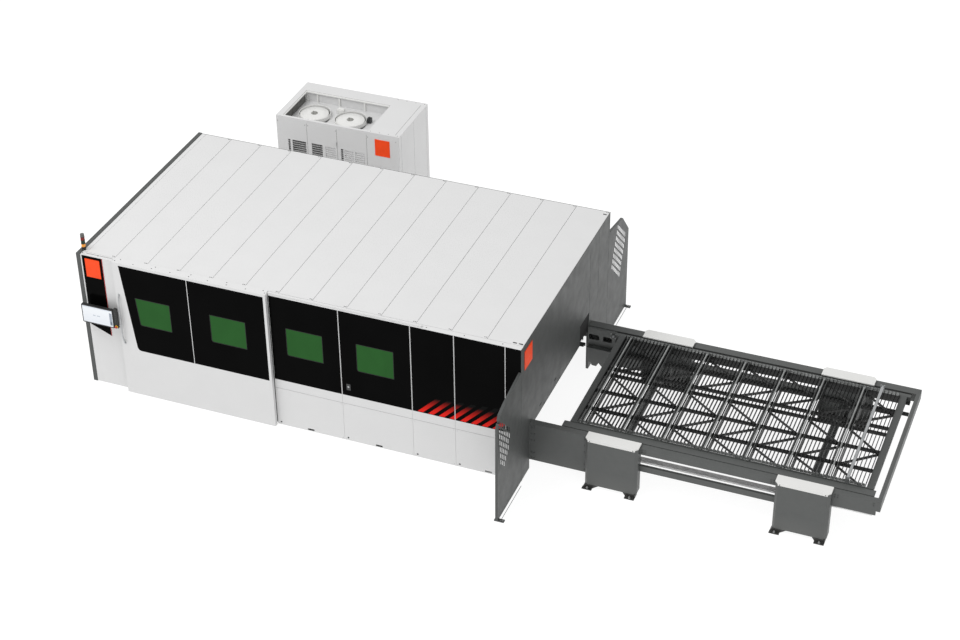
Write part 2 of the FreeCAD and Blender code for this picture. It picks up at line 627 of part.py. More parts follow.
def columns():
    shells, caps, feet = [], [], []
    ch = 40.0
    t = 8.0
    for cx in COL_X:
        for y_out, y_in in ((COL_FRONT[0], COL_FRONT[1]), (COL_REAR[1], COL_REAR[0])):
            s = 1 if y_in > y_out else -1
            x0, x1 = cx, cx + COL_W

            def outline(d, end):
                return [(x0 + d, end), (x0 + d, y_out + s * (ch + d * 0.4)),
                        (x0 + ch + d * 0.4, y_out + s * d),
                        (x1 - ch - d * 0.4, y_out + s * d),
                        (x1 - d, y_out + s * (ch + d * 0.4)), (x1 - d, end)]
            shell = prism(outline(0, y_in), "z", COL_Z0, COL_Z1)
            shell = shell.cut(prism(outline(t, y_in + s), "z", COL_Z0 + t, COL_Z1 + 1))
            m = cx + COL_W / 2
            ga, gb = sorted((y_out + s * t, y_in - s * 8))
            guides = [box(m - 100, m - 60, ga, gb, COL_Z0 + t, COL_Z1),
                      box(m + 60, m + 100, ga, gb, COL_Z0 + t, COL_Z1)]
            shells.append(fuse([shell] + guides))
            lip = [(x0 - 4, y_in), (x0 - 4, y_out + s * 34), (x0 + 34, y_out - s * 8),
                   (x1 - 34, y_out - s * 8), (x1 + 4, y_out + s * 34), (x1 + 4, y_in)]
            cap = prism(lip, "z", COL_Z1, COL_Z1 + 20)
            la, lb = sorted((y_out - s * 8, y_out))
            caps.append(fuse([cap, box(x0 + 40, x1 - 40, la, lb, COL_Z1 - 30, COL_Z1)]))
            for left in (True, False):
                if left:
                    pts = [(x0 - 20, 0), (x0 + 130, 0), (x0 + 215, COL_Z0), (x0 + 15, COL_Z0)]
                    hx = x0 + 55
                    f0, f1 = x0 - 20, x0 + 130
                else:
                    pts = [(x1 - 165, 0), (x1 - 15, 0), (x1 - 15, COL_Z0), (x1 - 205, COL_Z0)]
                    hx = x1 - 90
                    f0, f1 = x1 - 165, x1 - 15
                ya, yb = y_out, y_out + s * 100
                foot = prism(pts, "y", ya, yb)
                fa, fb = sorted((y_out - s * 60, y_out))
                flange = box(f0, f1, fa, fb, 0, 14)
                hole = cyl(ANCHOR_R, 20, (hx, y_out - s * 30, -2), (0, 0, 1))
                feet.append(fuse([foot, flange]).cut(hole))
    node("lift_columns", many(shells))
    node("column_caps", many(caps))
    node("column_feet", many(feet))


def drive_guard():
    x0, x1 = CABIN_LENGTH, COL_X[0]
    y0 = COL_REAR[0]
    top = BEAM_TOP - 12
    pts = [(x0, 190), (x0 + 60, 190), (x0 + 75, 140), (x0 + 150, 135), (x0 + 190, 205),
           (x0 + 235, 150), (x0 + 330, 145), (x0 + 360, 230), (x1, 230), (x1, top), (x0, top)]
    plate = prism(pts, "y", y0, y0 + 8)
    holes = [prism(rounded([(x0 + a, 640), (x0 + b, 640), (x0 + b, 735), (x0 + a, 735)],
                           [0, 20, 35, 20]), "y", y0 - 1, y0 + 9)
             for a, b in ((20, 190), (255, 400))]
    holes.append(box(x0 + 452, x0 + 455, y0 - 1, y0 + 3, 640, top + 1))
    shelf = box(x0, x1, y0 + 8, BEAM_Y1 - 140, top - 8, top)
    ring = cyl(36, 16, (x0 + 423, y0 - 16, 782), (0, 1, 0)).cut(
        cyl(20, 12, (x0 + 423, y0 - 17, 782), (0, 1, 0)))
    node("drive_guard", many([fuse([cut(plate, holes), shelf]), ring]))


def pallet(prefix, x0, zw, with_bar):
    x1 = x0 + PALLET_LENGTH
    ya, yb = PALLET_Y0, PALLET_Y1
    t = 22.0
    frame = [box(x0, x1, ya, ya + t, zw + 15, zw + 150),
             box(x0, x1, yb - t, yb, zw + 15, zw + 150),
             box(x0, x0 + 95, ya + t, yb - t, zw + 50, zw + 150),
             box(x1 - 95, x1, ya + t, yb - t, zw + 50, zw + 150)]
    inner = yb - ya
    longs = [ya + f * inner for f in (0.19, 0.385, 0.575, 0.64, 0.81)]
    for y in longs:
        frame.append(box(x0 + 95, x1 - 95, y - 22, y + 22, zw + 95, zw + 135))
    first = x0 + 200
    pairs = []
    bays = int((PALLET_LENGTH - 300) // BAY_PITCH) + 1
    for i in range(bays):
        for s in (-50, 50):
            x = first + i * BAY_PITCH + s
            if x < x1 - 130:
                pairs.append(x)
                frame.append(box(x - 5, x + 5, ya + t, yb - t, zw + 60, zw + 172))
                frame.append(box(x - 5, x + 5, ya + t, ya + t + 14, zw + 172, zw + 196))
    rows = ((longs[0], ya + t, 16), (longs[0], longs[1], 22), (longs[2], longs[1], 16),
            (longs[3], longs[4], 22), (yb - t, longs[4], 16))
    for p, q, width in rows:
        n = int((PALLET_LENGTH - 200) // (BAY_PITCH * 1.0))
        for i in range(n):
            a = first + i * BAY_PITCH
            b = min(a + BAY_PITCH, x1 - 100)
            frame.append(bar((a, p), (b, q), width, zw + 62, zw + 97))
    node(prefix + "_frame", fuse(frame).common(box(x0, x1, ya, yb, zw, zw + 300)))

    pitch = BAY_PITCH / (SLATS_PER_BAY + 1)
    slats = []
    x = x0 + 95 + 20
    while x < x1 - 95 - 15:
        if min(abs(x - p) for p in pairs) > 12:
            slats.append(box(x - SLAT_T / 2, x + SLAT_T / 2, ya + t + 2, yb - t - 2,
                             zw + 135, zw + 135 + SLAT_H))
        x += pitch
    node(prefix + "_slats", many(slats))

    wheels = []
    for fx in (0.067, 0.355, 0.645, 0.933):
        x = x0 + fx * PALLET_LENGTH
        for y, s in ((ya - WHEEL_OUT, 1), (yb + WHEEL_OUT, -1)):
            z = zw + WHEEL_R + RUN_GAP
            wheel = cyl(WHEEL_R, WHEEL_W, (x, y, z), (0, s, 0))
            axle = cyl(11, WHEEL_OUT, (x, y, z), (0, s, 0))
            wheels.append(fuse([wheel, axle]))
    node(prefix + "_wheels", many(wheels))

    if with_bar:
        x = x0 + 4125
        z = zw + 236
        pieces = [cyl(24, yb - ya - 10, (x, ya + 5, z), (0, 1, 0))]
        for y in (ya, yb - t):
            pieces.append(box(x - 30, x + 30, y, y + t, zw + 150, z))
            for s in (-1, 1):
                pieces.append(box(x + s * 27 - 5, x + s * 27 + 5, y, y + t, z, z + 34))
        node(prefix + "_bar", fuse(pieces))


# --------------------------------------------- supply cabinet behind the cabin
def cabinet():
    x0, x1, y0, y1, h = CAB_X0, CAB_X1, CAB_Y0, CAB_Y1, CAB_H
    w = x1 - x0
    q = [x0 + w * f for f in (0.0, 0.25, 0.495, 0.738, 1.0)]
    t = 25.0
    deck = h - WELL_DEPTH
    well_x1 = q[3] + 20
    shell = box(x0, x1, y0 + 2, y1, 80, h)
    shell = shell.cut(box(x0 + t, x1 - t, y0 + t + 2, y1 - t, 80 + t, deck - 30))
    shell = shell.cut(box(x0 + 110, well_x1, y0 + t + 25, y1 - 275, deck, h + 1))
    shell = shell.cut(box(x0 + t, x1 - t, y1 - 250, y1 - t, deck - 31, h - t))
    fans = fan_centres()
    shell = cut(shell, [cyl(FAN_R + 14, 60, (cx, cy, deck - 45), (0, 0, 1))
                        for cx, cy in fans])
    door_z0, door_z1 = 110.0, h - 60.0
    shell = shell.cut(box(q[2] + 1.5, q[3] - 1, y0 + 1, y0 + t + 3, door_z0 - 1, door_z1 + 1))
    louvres = []
    for i, (f0, f1) in enumerate(LOUVRE_BANKS):
        a = q[i] + f0 * (q[i + 1] - q[i])
        b = q[i] + f1 * (q[i + 1] - q[i])
        for k in range(10):
            z = h - 845 + 42 * k
            if z + 22 < deck - 32:
                louvres.append(box(a, b, y0 - 1, y0 + t + 60, z, z + 22))
    shell = cut(shell, louvres)
    skins = [box(q[i] + 2, q[i + 1] - 2, y0, y0 + 2, 84, h - 60) for i in (0, 1, 3)]
    skins = [cut(s, louvres) for s in skins]
    plinth = box(x0 + 40, x1 - 40, y0 + 60, y1 - 40, 0, 80)
    node("cabinet_case", fuse([shell, plinth] + skins))
    door = box(q[2] + 2, q[3] - 2, y0, y0 + 24, door_z0, door_z1)
    knob = box(q[3] - 60, q[3] - 36, y0 - 14, y0, 1150, 1270)
    node("cabinet_door", fuse([cut(door, louvres), knob]))

    # shrouds, motors and their cross bars below the two fans
    rings = []
    for cx, cy in fans:
        ring = cyl(FAN_R + 14, 112, (cx, cy, deck - 30), (0, 0, 1)).cut(
            cyl(FAN_R + 8, 114, (cx, cy, deck - 31), (0, 0, 1)))
        bars = [box(cx - FAN_R - 8, cx + FAN_R + 8, cy - 14, cy + 14, deck - 28, deck - 8),
                box(cx - 14, cx + 14, cy - FAN_R - 8, cy + FAN_R + 8, deck - 28, deck - 8)]
        motor = cyl(60, 20, (cx, cy, deck - 28), (0, 0, 1))
        shaft = cyl(14, 60, (cx, cy, deck - 8), (0, 0, 1))
        rings.append(fuse([ring, motor, shaft] + bars))
    node("fan_mounts", many(rings))
    for name, (cx, cy) in zip(("fan_left", "fan_right"), fans):
        hub = cyl(62, 70, (cx, cy, deck + 12), (0, 0, 1)).cut(
            cyl(14.5, 50, (cx, cy, deck + 11), (0, 0, 1)))
        blades = []
        for k in range(7):
            a = math.radians(360.0 / 7 * k)
            pts = []
            for r, da in ((55.0, -0.30), (FAN_R - 2, -0.36), (FAN_R - 2, 0.36), (55.0, 0.30)):
                pts.append((cx + r * math.cos(a + da), cy + r * math.sin(a + da)))
            blades.append(prism(pts, "z", deck + 44, deck + 50))
        node(name, fuse([hub] + blades))
    units = [box(a, b, y0 + c, y1 - 120, 80 + t, z).cut(
        box(a + 6, b - 6, y0 + c + 6, y1 - 126, 79 + t, z - 6))
        for a, b, c, z in ((x0 + 90, q[2] - 60, 120, deck - 420),
                           (q[2] + 60, x1 - t - 60, 240, h - 700))]
    node("cabinet_units", many(units))


def fan_centres():
    y = CAB_Y0 + 0.4 * CAB_D
    return [(CAB_X0 + 0.215 * CAB_W, y), (CAB_X0 + 0.51 * CAB_W, y)]


def media_duct():
    """Floor duct for hoses and cables between the cabin and the cabinet."""
    x0, x1 = CAB_X0 + 600, CAB_X0 + 900
    y0, y1 = CABIN_DEPTH, CAB_Y0 + 60
    duct = box(x0, x1, y0, y1, 0, 60).cut(box(x0 + 5, x1 - 5, y0 - 1, y1 + 1, -1, 55))
    riser = box(x0, x1, y0, y0 + 80, 60, 300)
    node("media_duct", fuse([duct, riser]))


def main():
    cabin_frame()
    roof()
    left_end()
    sign_plates()
    front_right()
    sliding_door()
    operator_panel()
    signal_tower()
    end_wall()
    wings()
    back_side()
    machine_bed()
    gantry()
    lift_carriage()
    table_structure()
    columns()
    drive_guard()
    pallet("pallet_a", PALLET_OUT_X, TRACK_Z + LIFT_DROP, True)
    pallet("pallet_b", PALLET_IN_X, TRACK_Z, False)
    cabinet()
    media_duct()
    for name, shape in NODES.items():
        moved = shape.copy()
        moved.translate(V(-X_MID, -Y_MID, 0))
        moved.exportStep("parts/%s.step" % name)


main()
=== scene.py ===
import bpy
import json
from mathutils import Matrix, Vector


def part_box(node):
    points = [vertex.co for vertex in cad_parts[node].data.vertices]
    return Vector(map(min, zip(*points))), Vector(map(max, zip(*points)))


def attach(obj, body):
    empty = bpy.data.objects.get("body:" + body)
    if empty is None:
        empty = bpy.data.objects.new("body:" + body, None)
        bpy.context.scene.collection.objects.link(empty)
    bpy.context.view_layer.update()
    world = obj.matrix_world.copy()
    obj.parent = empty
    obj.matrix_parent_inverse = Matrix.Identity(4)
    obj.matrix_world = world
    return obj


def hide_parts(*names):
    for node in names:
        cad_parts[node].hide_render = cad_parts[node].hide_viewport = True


bl_info = {
    "name": "Fiber laser cutting machine",
    "version": (1, 0, 0),
    "blender": (4, 5, 0),
    "location": "3D View > Sidebar > Machine",
    "description": "Dresses a sheet-metal laser cutter with its finishes, fittings and stage",
    "category": "Add Mesh",
}

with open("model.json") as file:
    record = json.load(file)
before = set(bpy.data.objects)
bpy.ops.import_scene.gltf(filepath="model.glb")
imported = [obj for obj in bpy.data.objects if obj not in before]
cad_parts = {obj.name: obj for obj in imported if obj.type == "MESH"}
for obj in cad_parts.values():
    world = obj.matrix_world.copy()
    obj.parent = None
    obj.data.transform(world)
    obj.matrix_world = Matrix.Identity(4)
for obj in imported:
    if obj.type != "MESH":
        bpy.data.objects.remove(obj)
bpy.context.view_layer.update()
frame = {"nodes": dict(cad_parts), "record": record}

import json
import math

import bmesh
import bpy
from bpy.props import FloatProperty, FloatVectorProperty, IntProperty, PointerProperty
from mathutils import Matrix, Vector

NODES = frame["nodes"]


# ------------------------------------------------------------------ colours
def srgb(code):
    """Linear colour from a hex code."""
    out = []
    for i in (0, 2, 4):
        c = int(code[i:i + 2], 16) / 255.0
        out.append(c / 12.92 if c <= 0.04045 else ((c + 0.055) / 1.055) ** 2.4)
    return tuple(out)


def rgba(c):
    return (c[0], c[1], c[2], 1.0)


def shade(c, k):
    return tuple(min(1.0, v * k) for v in c)


# ------------------------------------------------------------ user settings
def colour(name, text, code):
    return FloatVectorProperty(name=name, description=text, subtype="COLOR", size=3,
                               min=0.0, max=1.0, default=srgb(code))


def length(name, text, value):
    return FloatProperty(name=name, description=text, unit="LENGTH", min=0.0, default=value)


def number(name, text, value):
    return IntProperty(name=name, description=text, min=1, default=value)


class MachineColours(bpy.types.PropertyGroup):
    light_panel: colour("Light panel", "Powder coat of the roof and cover panels", "CFCFCF")
    dark_panel: colour("Dark panel", "Powder coat of the end wall and slab", "444645")
    table: colour("Table", "Paint of the shuttle table", "4D4F4E")
    # half of the pallet colour is painted shade on the pallet frames' lower bars
    pallet: colour("Pallet", "Dark steel of the pallet frames, halved for painted shade under the slats", "1F2020")
    slat: colour("Slat", "Scaled steel of the support slats", "1A1B1B")
    facing: colour("Facing", "Back-painted black facing", "060606")
    window: colour("Window", "Laser safety window", "265326")
    sign: colour("Sign plate", "Plain plates", "F04A1C")
    stripe: colour("Stripe", "Printed stripes at their lower end", "E0241B")
    steel: colour("Bare steel", "Ground steel", "B4B6B7")
    bed: colour("Machine bed", "Painted casting", "6E7274")


class MachineSizes(bpy.types.PropertyGroup):
    roof_strips: number("Roof strips", "Panels across the roof", 13)
    roof_seam: length("Roof seam", "Gap between roof panels", 0.005)
    screw: length("Screw", "Radius of a panel screw head", 0.007)
    bolt: length("Bolt", "Radius of an anchor bolt head", 0.015)
    tooth_pitch: length("Tooth pitch", "Distance between slat teeth", 0.0255)
    tooth_depth: length("Tooth depth", "Height of a slat tooth", 0.018)
    louvre_pitch: length("Louvre pitch", "Distance between louvre blades", 0.042)
    chain_pitch: length("Chain pitch", "Link length of the energy chain", 0.075)
    lens_ribs: number("Lens ribs", "Ribs along a signal lens", 9)


# ------------------------------------------------------------- node helpers
def add(tree, kind, inputs=None, **settings):
    """Adds one node, sets its properties, and fills its inputs with values or links."""
    n = tree.nodes.new(kind)
    for key, value in settings.items():
        setattr(n, key, value)
    for key, value in (inputs or {}).items():
        if isinstance(value, bpy.types.NodeSocket):
            tree.links.new(value, n.inputs[key])
        else:
            n.inputs[key].default_value = value
    return n


def start(name, **sockets):
    """A material with one shader; the sockets that hold one value are set on the shader."""
    m = bpy.data.materials.new(name)
    m.use_nodes = True
    t = m.node_tree
    t.nodes.clear()
    out = add(t, "ShaderNodeOutputMaterial")
    p = add(t, "ShaderNodeBsdfPrincipled")
    for key, value in sockets.items():
        p.inputs[key.replace("_", " ")].default_value = value
    t.links.new(p.outputs[0], out.inputs["Surface"])
    co = add(t, "ShaderNodeTexCoord").outputs["Object"]
    return m, t, p, co


def noise(t, co, size_mm, detail=2.0, stretch=(1, 1, 1)):
    """Noise whose features are about size_mm long."""
    at = add(t, "ShaderNodeMapping", {"Vector": co, "Scale": stretch}).outputs[0]
    return add(t, "ShaderNodeTexNoise", {"Vector": at, "Scale": 1000.0 / size_mm,
                                         "Detail": detail}).outputs["Fac"]


def ramp(t, fac, low, high, a=0.35, b=0.65):
    """Blend of two colours over part of a factor's range."""
    r = add(t, "ShaderNodeMapRange", {"Value": fac, "From Min": a, "From Max": b})
    mix = add(t, "ShaderNodeMix", {0: r.outputs[0], 6: rgba(low), 7: rgba(high)},
              data_type="RGBA")
    return mix.outputs[2]


def spread(t, fac, low, high, a=0.3, b=0.7):
    return add(t, "ShaderNodeMapRange", {"Value": fac, "From Min": a, "From Max": b,
                                         "To Min": low, "To Max": high}).outputs[0]


def bump(t, p, height, depth_mm, strength=1.0):
    b = add(t, "ShaderNodeBump", {"Height": height, "Distance": depth_mm / 1000.0,
                                  "Strength": strength})
    t.links.new(b.outputs[0], p.inputs["Normal"])


# ---------------------------------------------------------------- materials
def powder_coat(name, c, rough=0.45, mottle=0.008, peel=0.15):
    """Powder coat baked on sheet steel. Its orange peel is 2 to 4 mm across and a few
    hundredths deep, fainter on dark coats, and handling leaves faint broad clouds."""
    m, t, p, co = start(name, Metallic=0.0)
    cloud = noise(t, co, 420, 3)
    t.links.new(ramp(t, cloud, shade(c, 1 - mottle), shade(c, 1 + mottle)),
                p.inputs["Base Color"])
    t.links.new(spread(t, noise(t, co, 160, 3), rough - 0.05, rough + 0.06),
                p.inputs["Roughness"])
    bump(t, p, noise(t, co, 3.2, 1), 0.02, peel)
    return m


def floor_dust_coat(name, c):
    """The same coat on low parts, which greys towards the floor and shows rubbed patches."""
    m, t, p, co = start(name, Metallic=0.0)
    z = add(t, "ShaderNodeSeparateXYZ", {"Vector": co}).outputs["Z"]
    low = add(t, "ShaderNodeMapRange", {"Value": z, "From Min": 0.0, "From Max": 0.35,
                                        "To Min": 0.25, "To Max": 0.0}).outputs[0]
    patch = noise(t, co, 90, 4)
    dust = add(t, "ShaderNodeMath", {0: low, 1: patch}, operation="MULTIPLY").outputs[0]
    base = ramp(t, noise(t, co, 300, 3), shade(c, 0.98), shade(c, 1.02))
    mix = add(t, "ShaderNodeMix", {0: dust, 6: base, 7: rgba(srgb("8A8985"))},
              data_type="RGBA")
    t.links.new(mix.outputs[2], p.inputs["Base Color"])
    t.links.new(spread(t, patch, 0.40, 0.56), p.inputs["Roughness"])
    bump(t, p, noise(t, co, 3.2, 1), 0.01, 0.05)
    return m


def light_and_shade_split(name, below, above, z, rough=0.5, behind=None):
    """Painted frame in two tones that meet at one height, with faint clouds; the upper tone, the
    frame's coat, also covers all that lies behind a given depth. The lower tone is painted light
    and shade: dark on the pallet frames, as painted shade of the bars under the slats, and near
    white on the lift carriage's front track, as painted light standing in for the bright floor
    seen under the front beam."""
    m, t, p, co = start(name, Metallic=0.0)
    place = add(t, "ShaderNodeSeparateXYZ", {"Vector": co})
    up = add(t, "ShaderNodeMath", {0: place.outputs["Z"], 1: z},
             operation="GREATER_THAN").outputs[0]
    if behind is not None:
        rear = add(t, "ShaderNodeMath", {0: place.outputs["Y"], 1: behind},
                   operation="GREATER_THAN").outputs[0]
        up = add(t, "ShaderNodeMath", {0: up, 1: rear}, operation="MAXIMUM").outputs[0]
    cloud = noise(t, co, 90, 3)
    mix = add(t, "ShaderNodeMix", {0: up, 6: ramp(t, cloud, shade(below, 0.9),
                                                  shade(below, 1.1)),
                                   7: ramp(t, cloud, shade(above, 0.96),
                                           shade(above, 1.04))}, data_type="RGBA")
    t.links.new(mix.outputs[2], p.inputs["Base Color"])
    t.links.new(spread(t, cloud, rough - 0.05, rough + 0.08), p.inputs["Roughness"])
    bump(t, p, noise(t, co, 3.2, 1), 0.01, 0.05)
    return m


def back_painted_glass(name, c):
    """Black paint behind clear acrylic: deep, glossy, with a very slight waviness."""
    m, t, p, co = start(name, Metallic=0.0, Roughness=0.12, IOR=1.49,
                        Specular_IOR_Level=0.02)
    t.links.new(ramp(t, noise(t, co, 600, 2), shade(c, 0.85), shade(c, 1.15)),
                p.inputs["Base Color"])
    bump(t, p, noise(t, co, 500, 1), 0.25, 0.25)
    return m


def safety_window(name, c):
    """Dyed acrylic laser window: even green with soft darker shapes behind it, and a polished
    face. A faint glow in its own green is painted light of the lit work space behind it."""
    m, t, p, co = start(name, Metallic=0.0, Roughness=0.07, IOR=1.49,
                        Specular_IOR_Level=0.05, Emission_Strength=0.05)
    behind = noise(t, co, 260, 1, (1, 1, 0.6))
    t.links.new(ramp(t, behind, shade(c, 0.95), shade(c, 1.04)), p.inputs["Base Color"])
    # painted light: the pane glows faintly in its own green
    p.inputs["Emission Color"].default_value = rgba(c)
    return m


def moulded(name, c, rough=0.5, grain_mm=0.9):
    """Moulded ABS with a spark-eroded grain of about a millimetre."""
    m, t, p, co = start(name, Metallic=0.0, IOR=1.54)
    t.links.new(ramp(t, noise(t, co, 60, 2), shade(c, 0.9), shade(c, 1.1)),
                p.inputs["Base Color"])
    t.links.new(spread(t, noise(t, co, 18, 2), rough - 0.05, rough + 0.05),
                p.inputs["Roughness"])
    bump(t, p, noise(t, co, grain_mm, 2), 0.05, 0.5)
    return m


def rubber(name, c):
    """Carbon-filled rubber, dull, with a dusty bloom."""
    m, t, p, co = start(name, Metallic=0.0, IOR=1.52)
    t.links.new(ramp(t, noise(t, co, 45, 3), shade(c, 0.8), shade(c, 1.5)),
                p.inputs["Base Color"])
    t.links.new(spread(t, noise(t, co, 20, 2), 0.72, 0.88), p.inputs["Roughness"])
    bump(t, p, noise(t, co, 2.0, 2), 0.1, 0.4)
    return m


def ground_steel(name, c, along=(1, 1, 0.04), rough=0.32):
    """Ground or drawn steel: fine lines along one way, drawn 1.5 mm apart so that they
    show, with faint oily clouds."""
    m, t, p, co = start(name, Metallic=1.0)
    lines = noise(t, co, 1.5, 3, along)
    t.links.new(ramp(t, noise(t, co, 120, 3), shade(c, 0.86), shade(c, 1.05)),
                p.inputs["Base Color"])
    t.links.new(spread(t, lines, rough - 0.08, rough + 0.12), p.inputs["Roughness"])
    bump(t, p, lines, 0.03, 0.4)
    return m


def mill_scale(name, c, tip_z=None, tip=None):
    """Hot-rolled bar with blue-black scale, spatter grains of 4 mm, and bare grey metal
    where sheets drag over the tips."""
    m, t, p, co = start(name, Metallic=0.35)
    body = ramp(t, noise(t, co, 35, 4), shade(c, 0.7), shade(c, 1.35))
    grain = noise(t, co, 4, 3)
    if tip_z is not None:
        z = add(t, "ShaderNodeSeparateXYZ", {"Vector": co}).outputs["Z"]
        up = add(t, "ShaderNodeMapRange", {"Value": z, "From Min": tip_z - 0.02,
                                           "From Max": tip_z}).outputs[0]
        worn = add(t, "ShaderNodeMath", {0: up, 1: noise(t, co, 40, 3)},
                   operation="MULTIPLY").outputs[0]
        body = add(t, "ShaderNodeMix", {0: worn, 6: body, 7: rgba(tip)},
                   data_type="RGBA").outputs[2]
    t.links.new(body, p.inputs["Base Color"])
    t.links.new(spread(t, grain, 0.45, 0.75), p.inputs["Roughness"])
    bump(t, p, grain, 0.3, 0.5)
    return m


def zinc_sheet(name, c):
    """Hot-dip galvanised sheet: spangles about 12 mm across that differ in tone."""
    m, t, p, co = start(name, Metallic=0.85)
    cell = add(t, "ShaderNodeTexVoronoi", {"Vector": co, "Scale": 1000 / 12.0})
    tone = add(t, "ShaderNodeSeparateColor", {"Color": cell.outputs["Color"]}).outputs[0]
    t.links.new(ramp(t, tone, shade(c, 0.82), shade(c, 1.12), 0.0, 1.0),
                p.inputs["Base Color"])
    t.links.new(spread(t, tone, 0.34, 0.55, 0.0, 1.0), p.inputs["Roughness"])
    return m


def cast_paint(name, c):
    """Thick paint over a sand casting, pitted at about 6 mm."""
    m, t, p, co = start(name, Metallic=0.0)
    t.links.new(ramp(t, noise(t, co, 200, 3), shade(c, 0.9), shade(c, 1.08)),
                p.inputs["Base Color"])
    t.links.new(spread(t, noise(t, co, 30, 2), 0.5, 0.65), p.inputs["Roughness"])
    bump(t, p, noise(t, co, 6, 4), 0.5, 0.5)
    return m


def anodised(name, c):
    """Clear anodised aluminium: fine satin, milled lines 2 mm apart."""
    m, t, p, co = start(name, Metallic=1.0)
    lines = noise(t, co, 2.0, 2, (1, 0.05, 1))
    t.links.new(ramp(t, lines, shade(c, 0.94), shade(c, 1.03)), p.inputs["Base Color"])
    t.links.new(spread(t, lines, 0.34, 0.46), p.inputs["Roughness"])
    return m


def sign_enamel(name, c):
    """Plain sprayed enamel on a thin plate, satin, a little uneven."""
    m, t, p, co = start(name, Metallic=0.0, Specular_IOR_Level=0.15)
    t.links.new(ramp(t, noise(t, co, 140, 2), shade(c, 0.96), shade(c, 1.04)),
                p.inputs["Base Color"])
    t.links.new(spread(t, noise(t, co, 50, 2), 0.30, 0.40), p.inputs["Roughness"])
    return m


def fading_print(name, c, black, z0, z1):
    """Screen-printed stripes: full ink at the foot, a dot screen that thins upwards
    into the black behind."""
    m, t, p, co = start(name, Metallic=0.0, Roughness=0.2, Specular_IOR_Level=0.05)
    z = add(t, "ShaderNodeSeparateXYZ", {"Vector": co}).outputs["Z"]
    ink = add(t, "ShaderNodeMapRange", {"Value": z, "From Min": z0, "From Max": z1,
                                        "To Min": 1.0, "To Max": 0.0},
              interpolation_type="SMOOTHSTEP").outputs[0]
    rough = add(t, "ShaderNodeMath", {0: noise(t, co, 5, 1), 1: 0.16},
                operation="MULTIPLY").outputs[0]
    ink = add(t, "ShaderNodeMath", {0: ink, 1: rough}, operation="SUBTRACT").outputs[0]
    ink = add(t, "ShaderNodeMath", {0: ink, 1: 0.0}, operation="ADD",
              use_clamp=True).outputs[0]
    mix = add(t, "ShaderNodeMix", {0: ink, 6: rgba(black), 7: rgba(c)}, data_type="RGBA")
    t.links.new(mix.outputs[2], p.inputs["Base Color"])
    return m


def signal_lens(name, c, glow=0.0):
    """Dyed acrylic lens of a signal light, ribbed inside every 5 mm."""
    m, t, p, co = start(name, Metallic=0.0, Roughness=0.16, IOR=1.49,
                        Emission_Strength=glow)
    p.inputs["Emission Color"].default_value = rgba(c)
    z = add(t, "ShaderNodeSeparateXYZ", {"Vector": co}).outputs["Z"]
    rib = add(t, "ShaderNodeMath", {0: z, 1: 2 * math.pi * 1000 / 5.0},
              operation="MULTIPLY").outputs[0]
    rib = add(t, "ShaderNodeMath", {0: rib}, operation="SINE").outputs[0]
    t.links.new(ramp(t, rib, shade(c, 0.7), shade(c, 1.15), -1, 1), p.inputs["Base Color"])
    return m


def display(name):
    """LCD behind a hard-coated touch panel: a cool white page, one grey column at the
    right, and a few plain blocks."""
    m, t, p, co = start(name, Metallic=0.0, Roughness=0.2, Specular_IOR_Level=0.1,
                        Emission_Strength=0.0)
    lo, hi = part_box("hmi_screen")
    xyz = add(t, "ShaderNodeSeparateXYZ", {"Vector": co})
    u = add(t, "ShaderNodeMapRange", {"Value": xyz.outputs["X"], "From Min": lo.x,
                                      "From Max": hi.x}).outputs[0]
    v = add(t, "ShaderNodeMapRange", {"Value": xyz.outputs["Z"], "From Min": lo.z,
                                      "From Max": hi.z}).outputs[0]

    def patch(under, u0, u1, v0, v1, c):
        f = None
        for s, a, op in ((u, u0, "GREATER_THAN"), (u, u1, "LESS_THAN"),
                         (v, v0, "GREATER_THAN"), (v, v1, "LESS_THAN")):
            test = add(t, "ShaderNodeMath", {0: s, 1: a}, operation=op).outputs[0]
            f = test if f is None else add(t, "ShaderNodeMath", {0: f, 1: test},
                                           operation="MULTIPLY").outputs[0]
        return add(t, "ShaderNodeMix", {0: f, 6: under, 7: rgba(srgb(c))},
                   data_type="RGBA").outputs[2]
    page = ramp(t, v, srgb("DDE1E7"), srgb("E8EBEE"), 0, 1)
    page = patch(page, 0.0, 1.0, 0.92, 1.0, "D7DCE3")
    page = patch(page, 0.90, 0.985, 0.08, 0.84, "9BA2AC")
    page = patch(page, 0.915, 0.97, 0.12, 0.30, "6C737E")
    page = patch(page, 0.34, 0.43, 0.46, 0.52, "B9C0C9")
    page = patch(page, 0.47, 0.58, 0.46, 0.52, "B9C0C9")
    t.links.new(page, p.inputs["Base Color"])
    t.links.new(page, p.inputs["Emission Color"])
    return m


def studio_floor(name):
    """Plain pale seamless floor, a back-lit sweep, so that shadows on it stay faint."""
    m, t, p, co = start(name, Metallic=0.0, Roughness=0.9, Specular_IOR_Level=0.05,
                        Emission_Strength=0.90)
    t.links.new(ramp(t, noise(t, co, 4000, 1), srgb("7C7C7C"), srgb("7E7E7E")),
                p.inputs["Base Color"])
    p.inputs["Emission Color"].default_value = (1.0, 1.0, 1.0, 1.0)
    return m


MATS = {}


def paint(node, material):
    data = NODES[node].data
    data.materials.clear()
    data.materials.append(material)


# ------------------------------------------------------------- mesh helpers
def keep(obj, body, stands_for=()):
    """Links a finished piece to its body and hides the nodes it stands for."""
    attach(obj, body)
    if stands_for:
        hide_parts(*stands_for)
    return obj


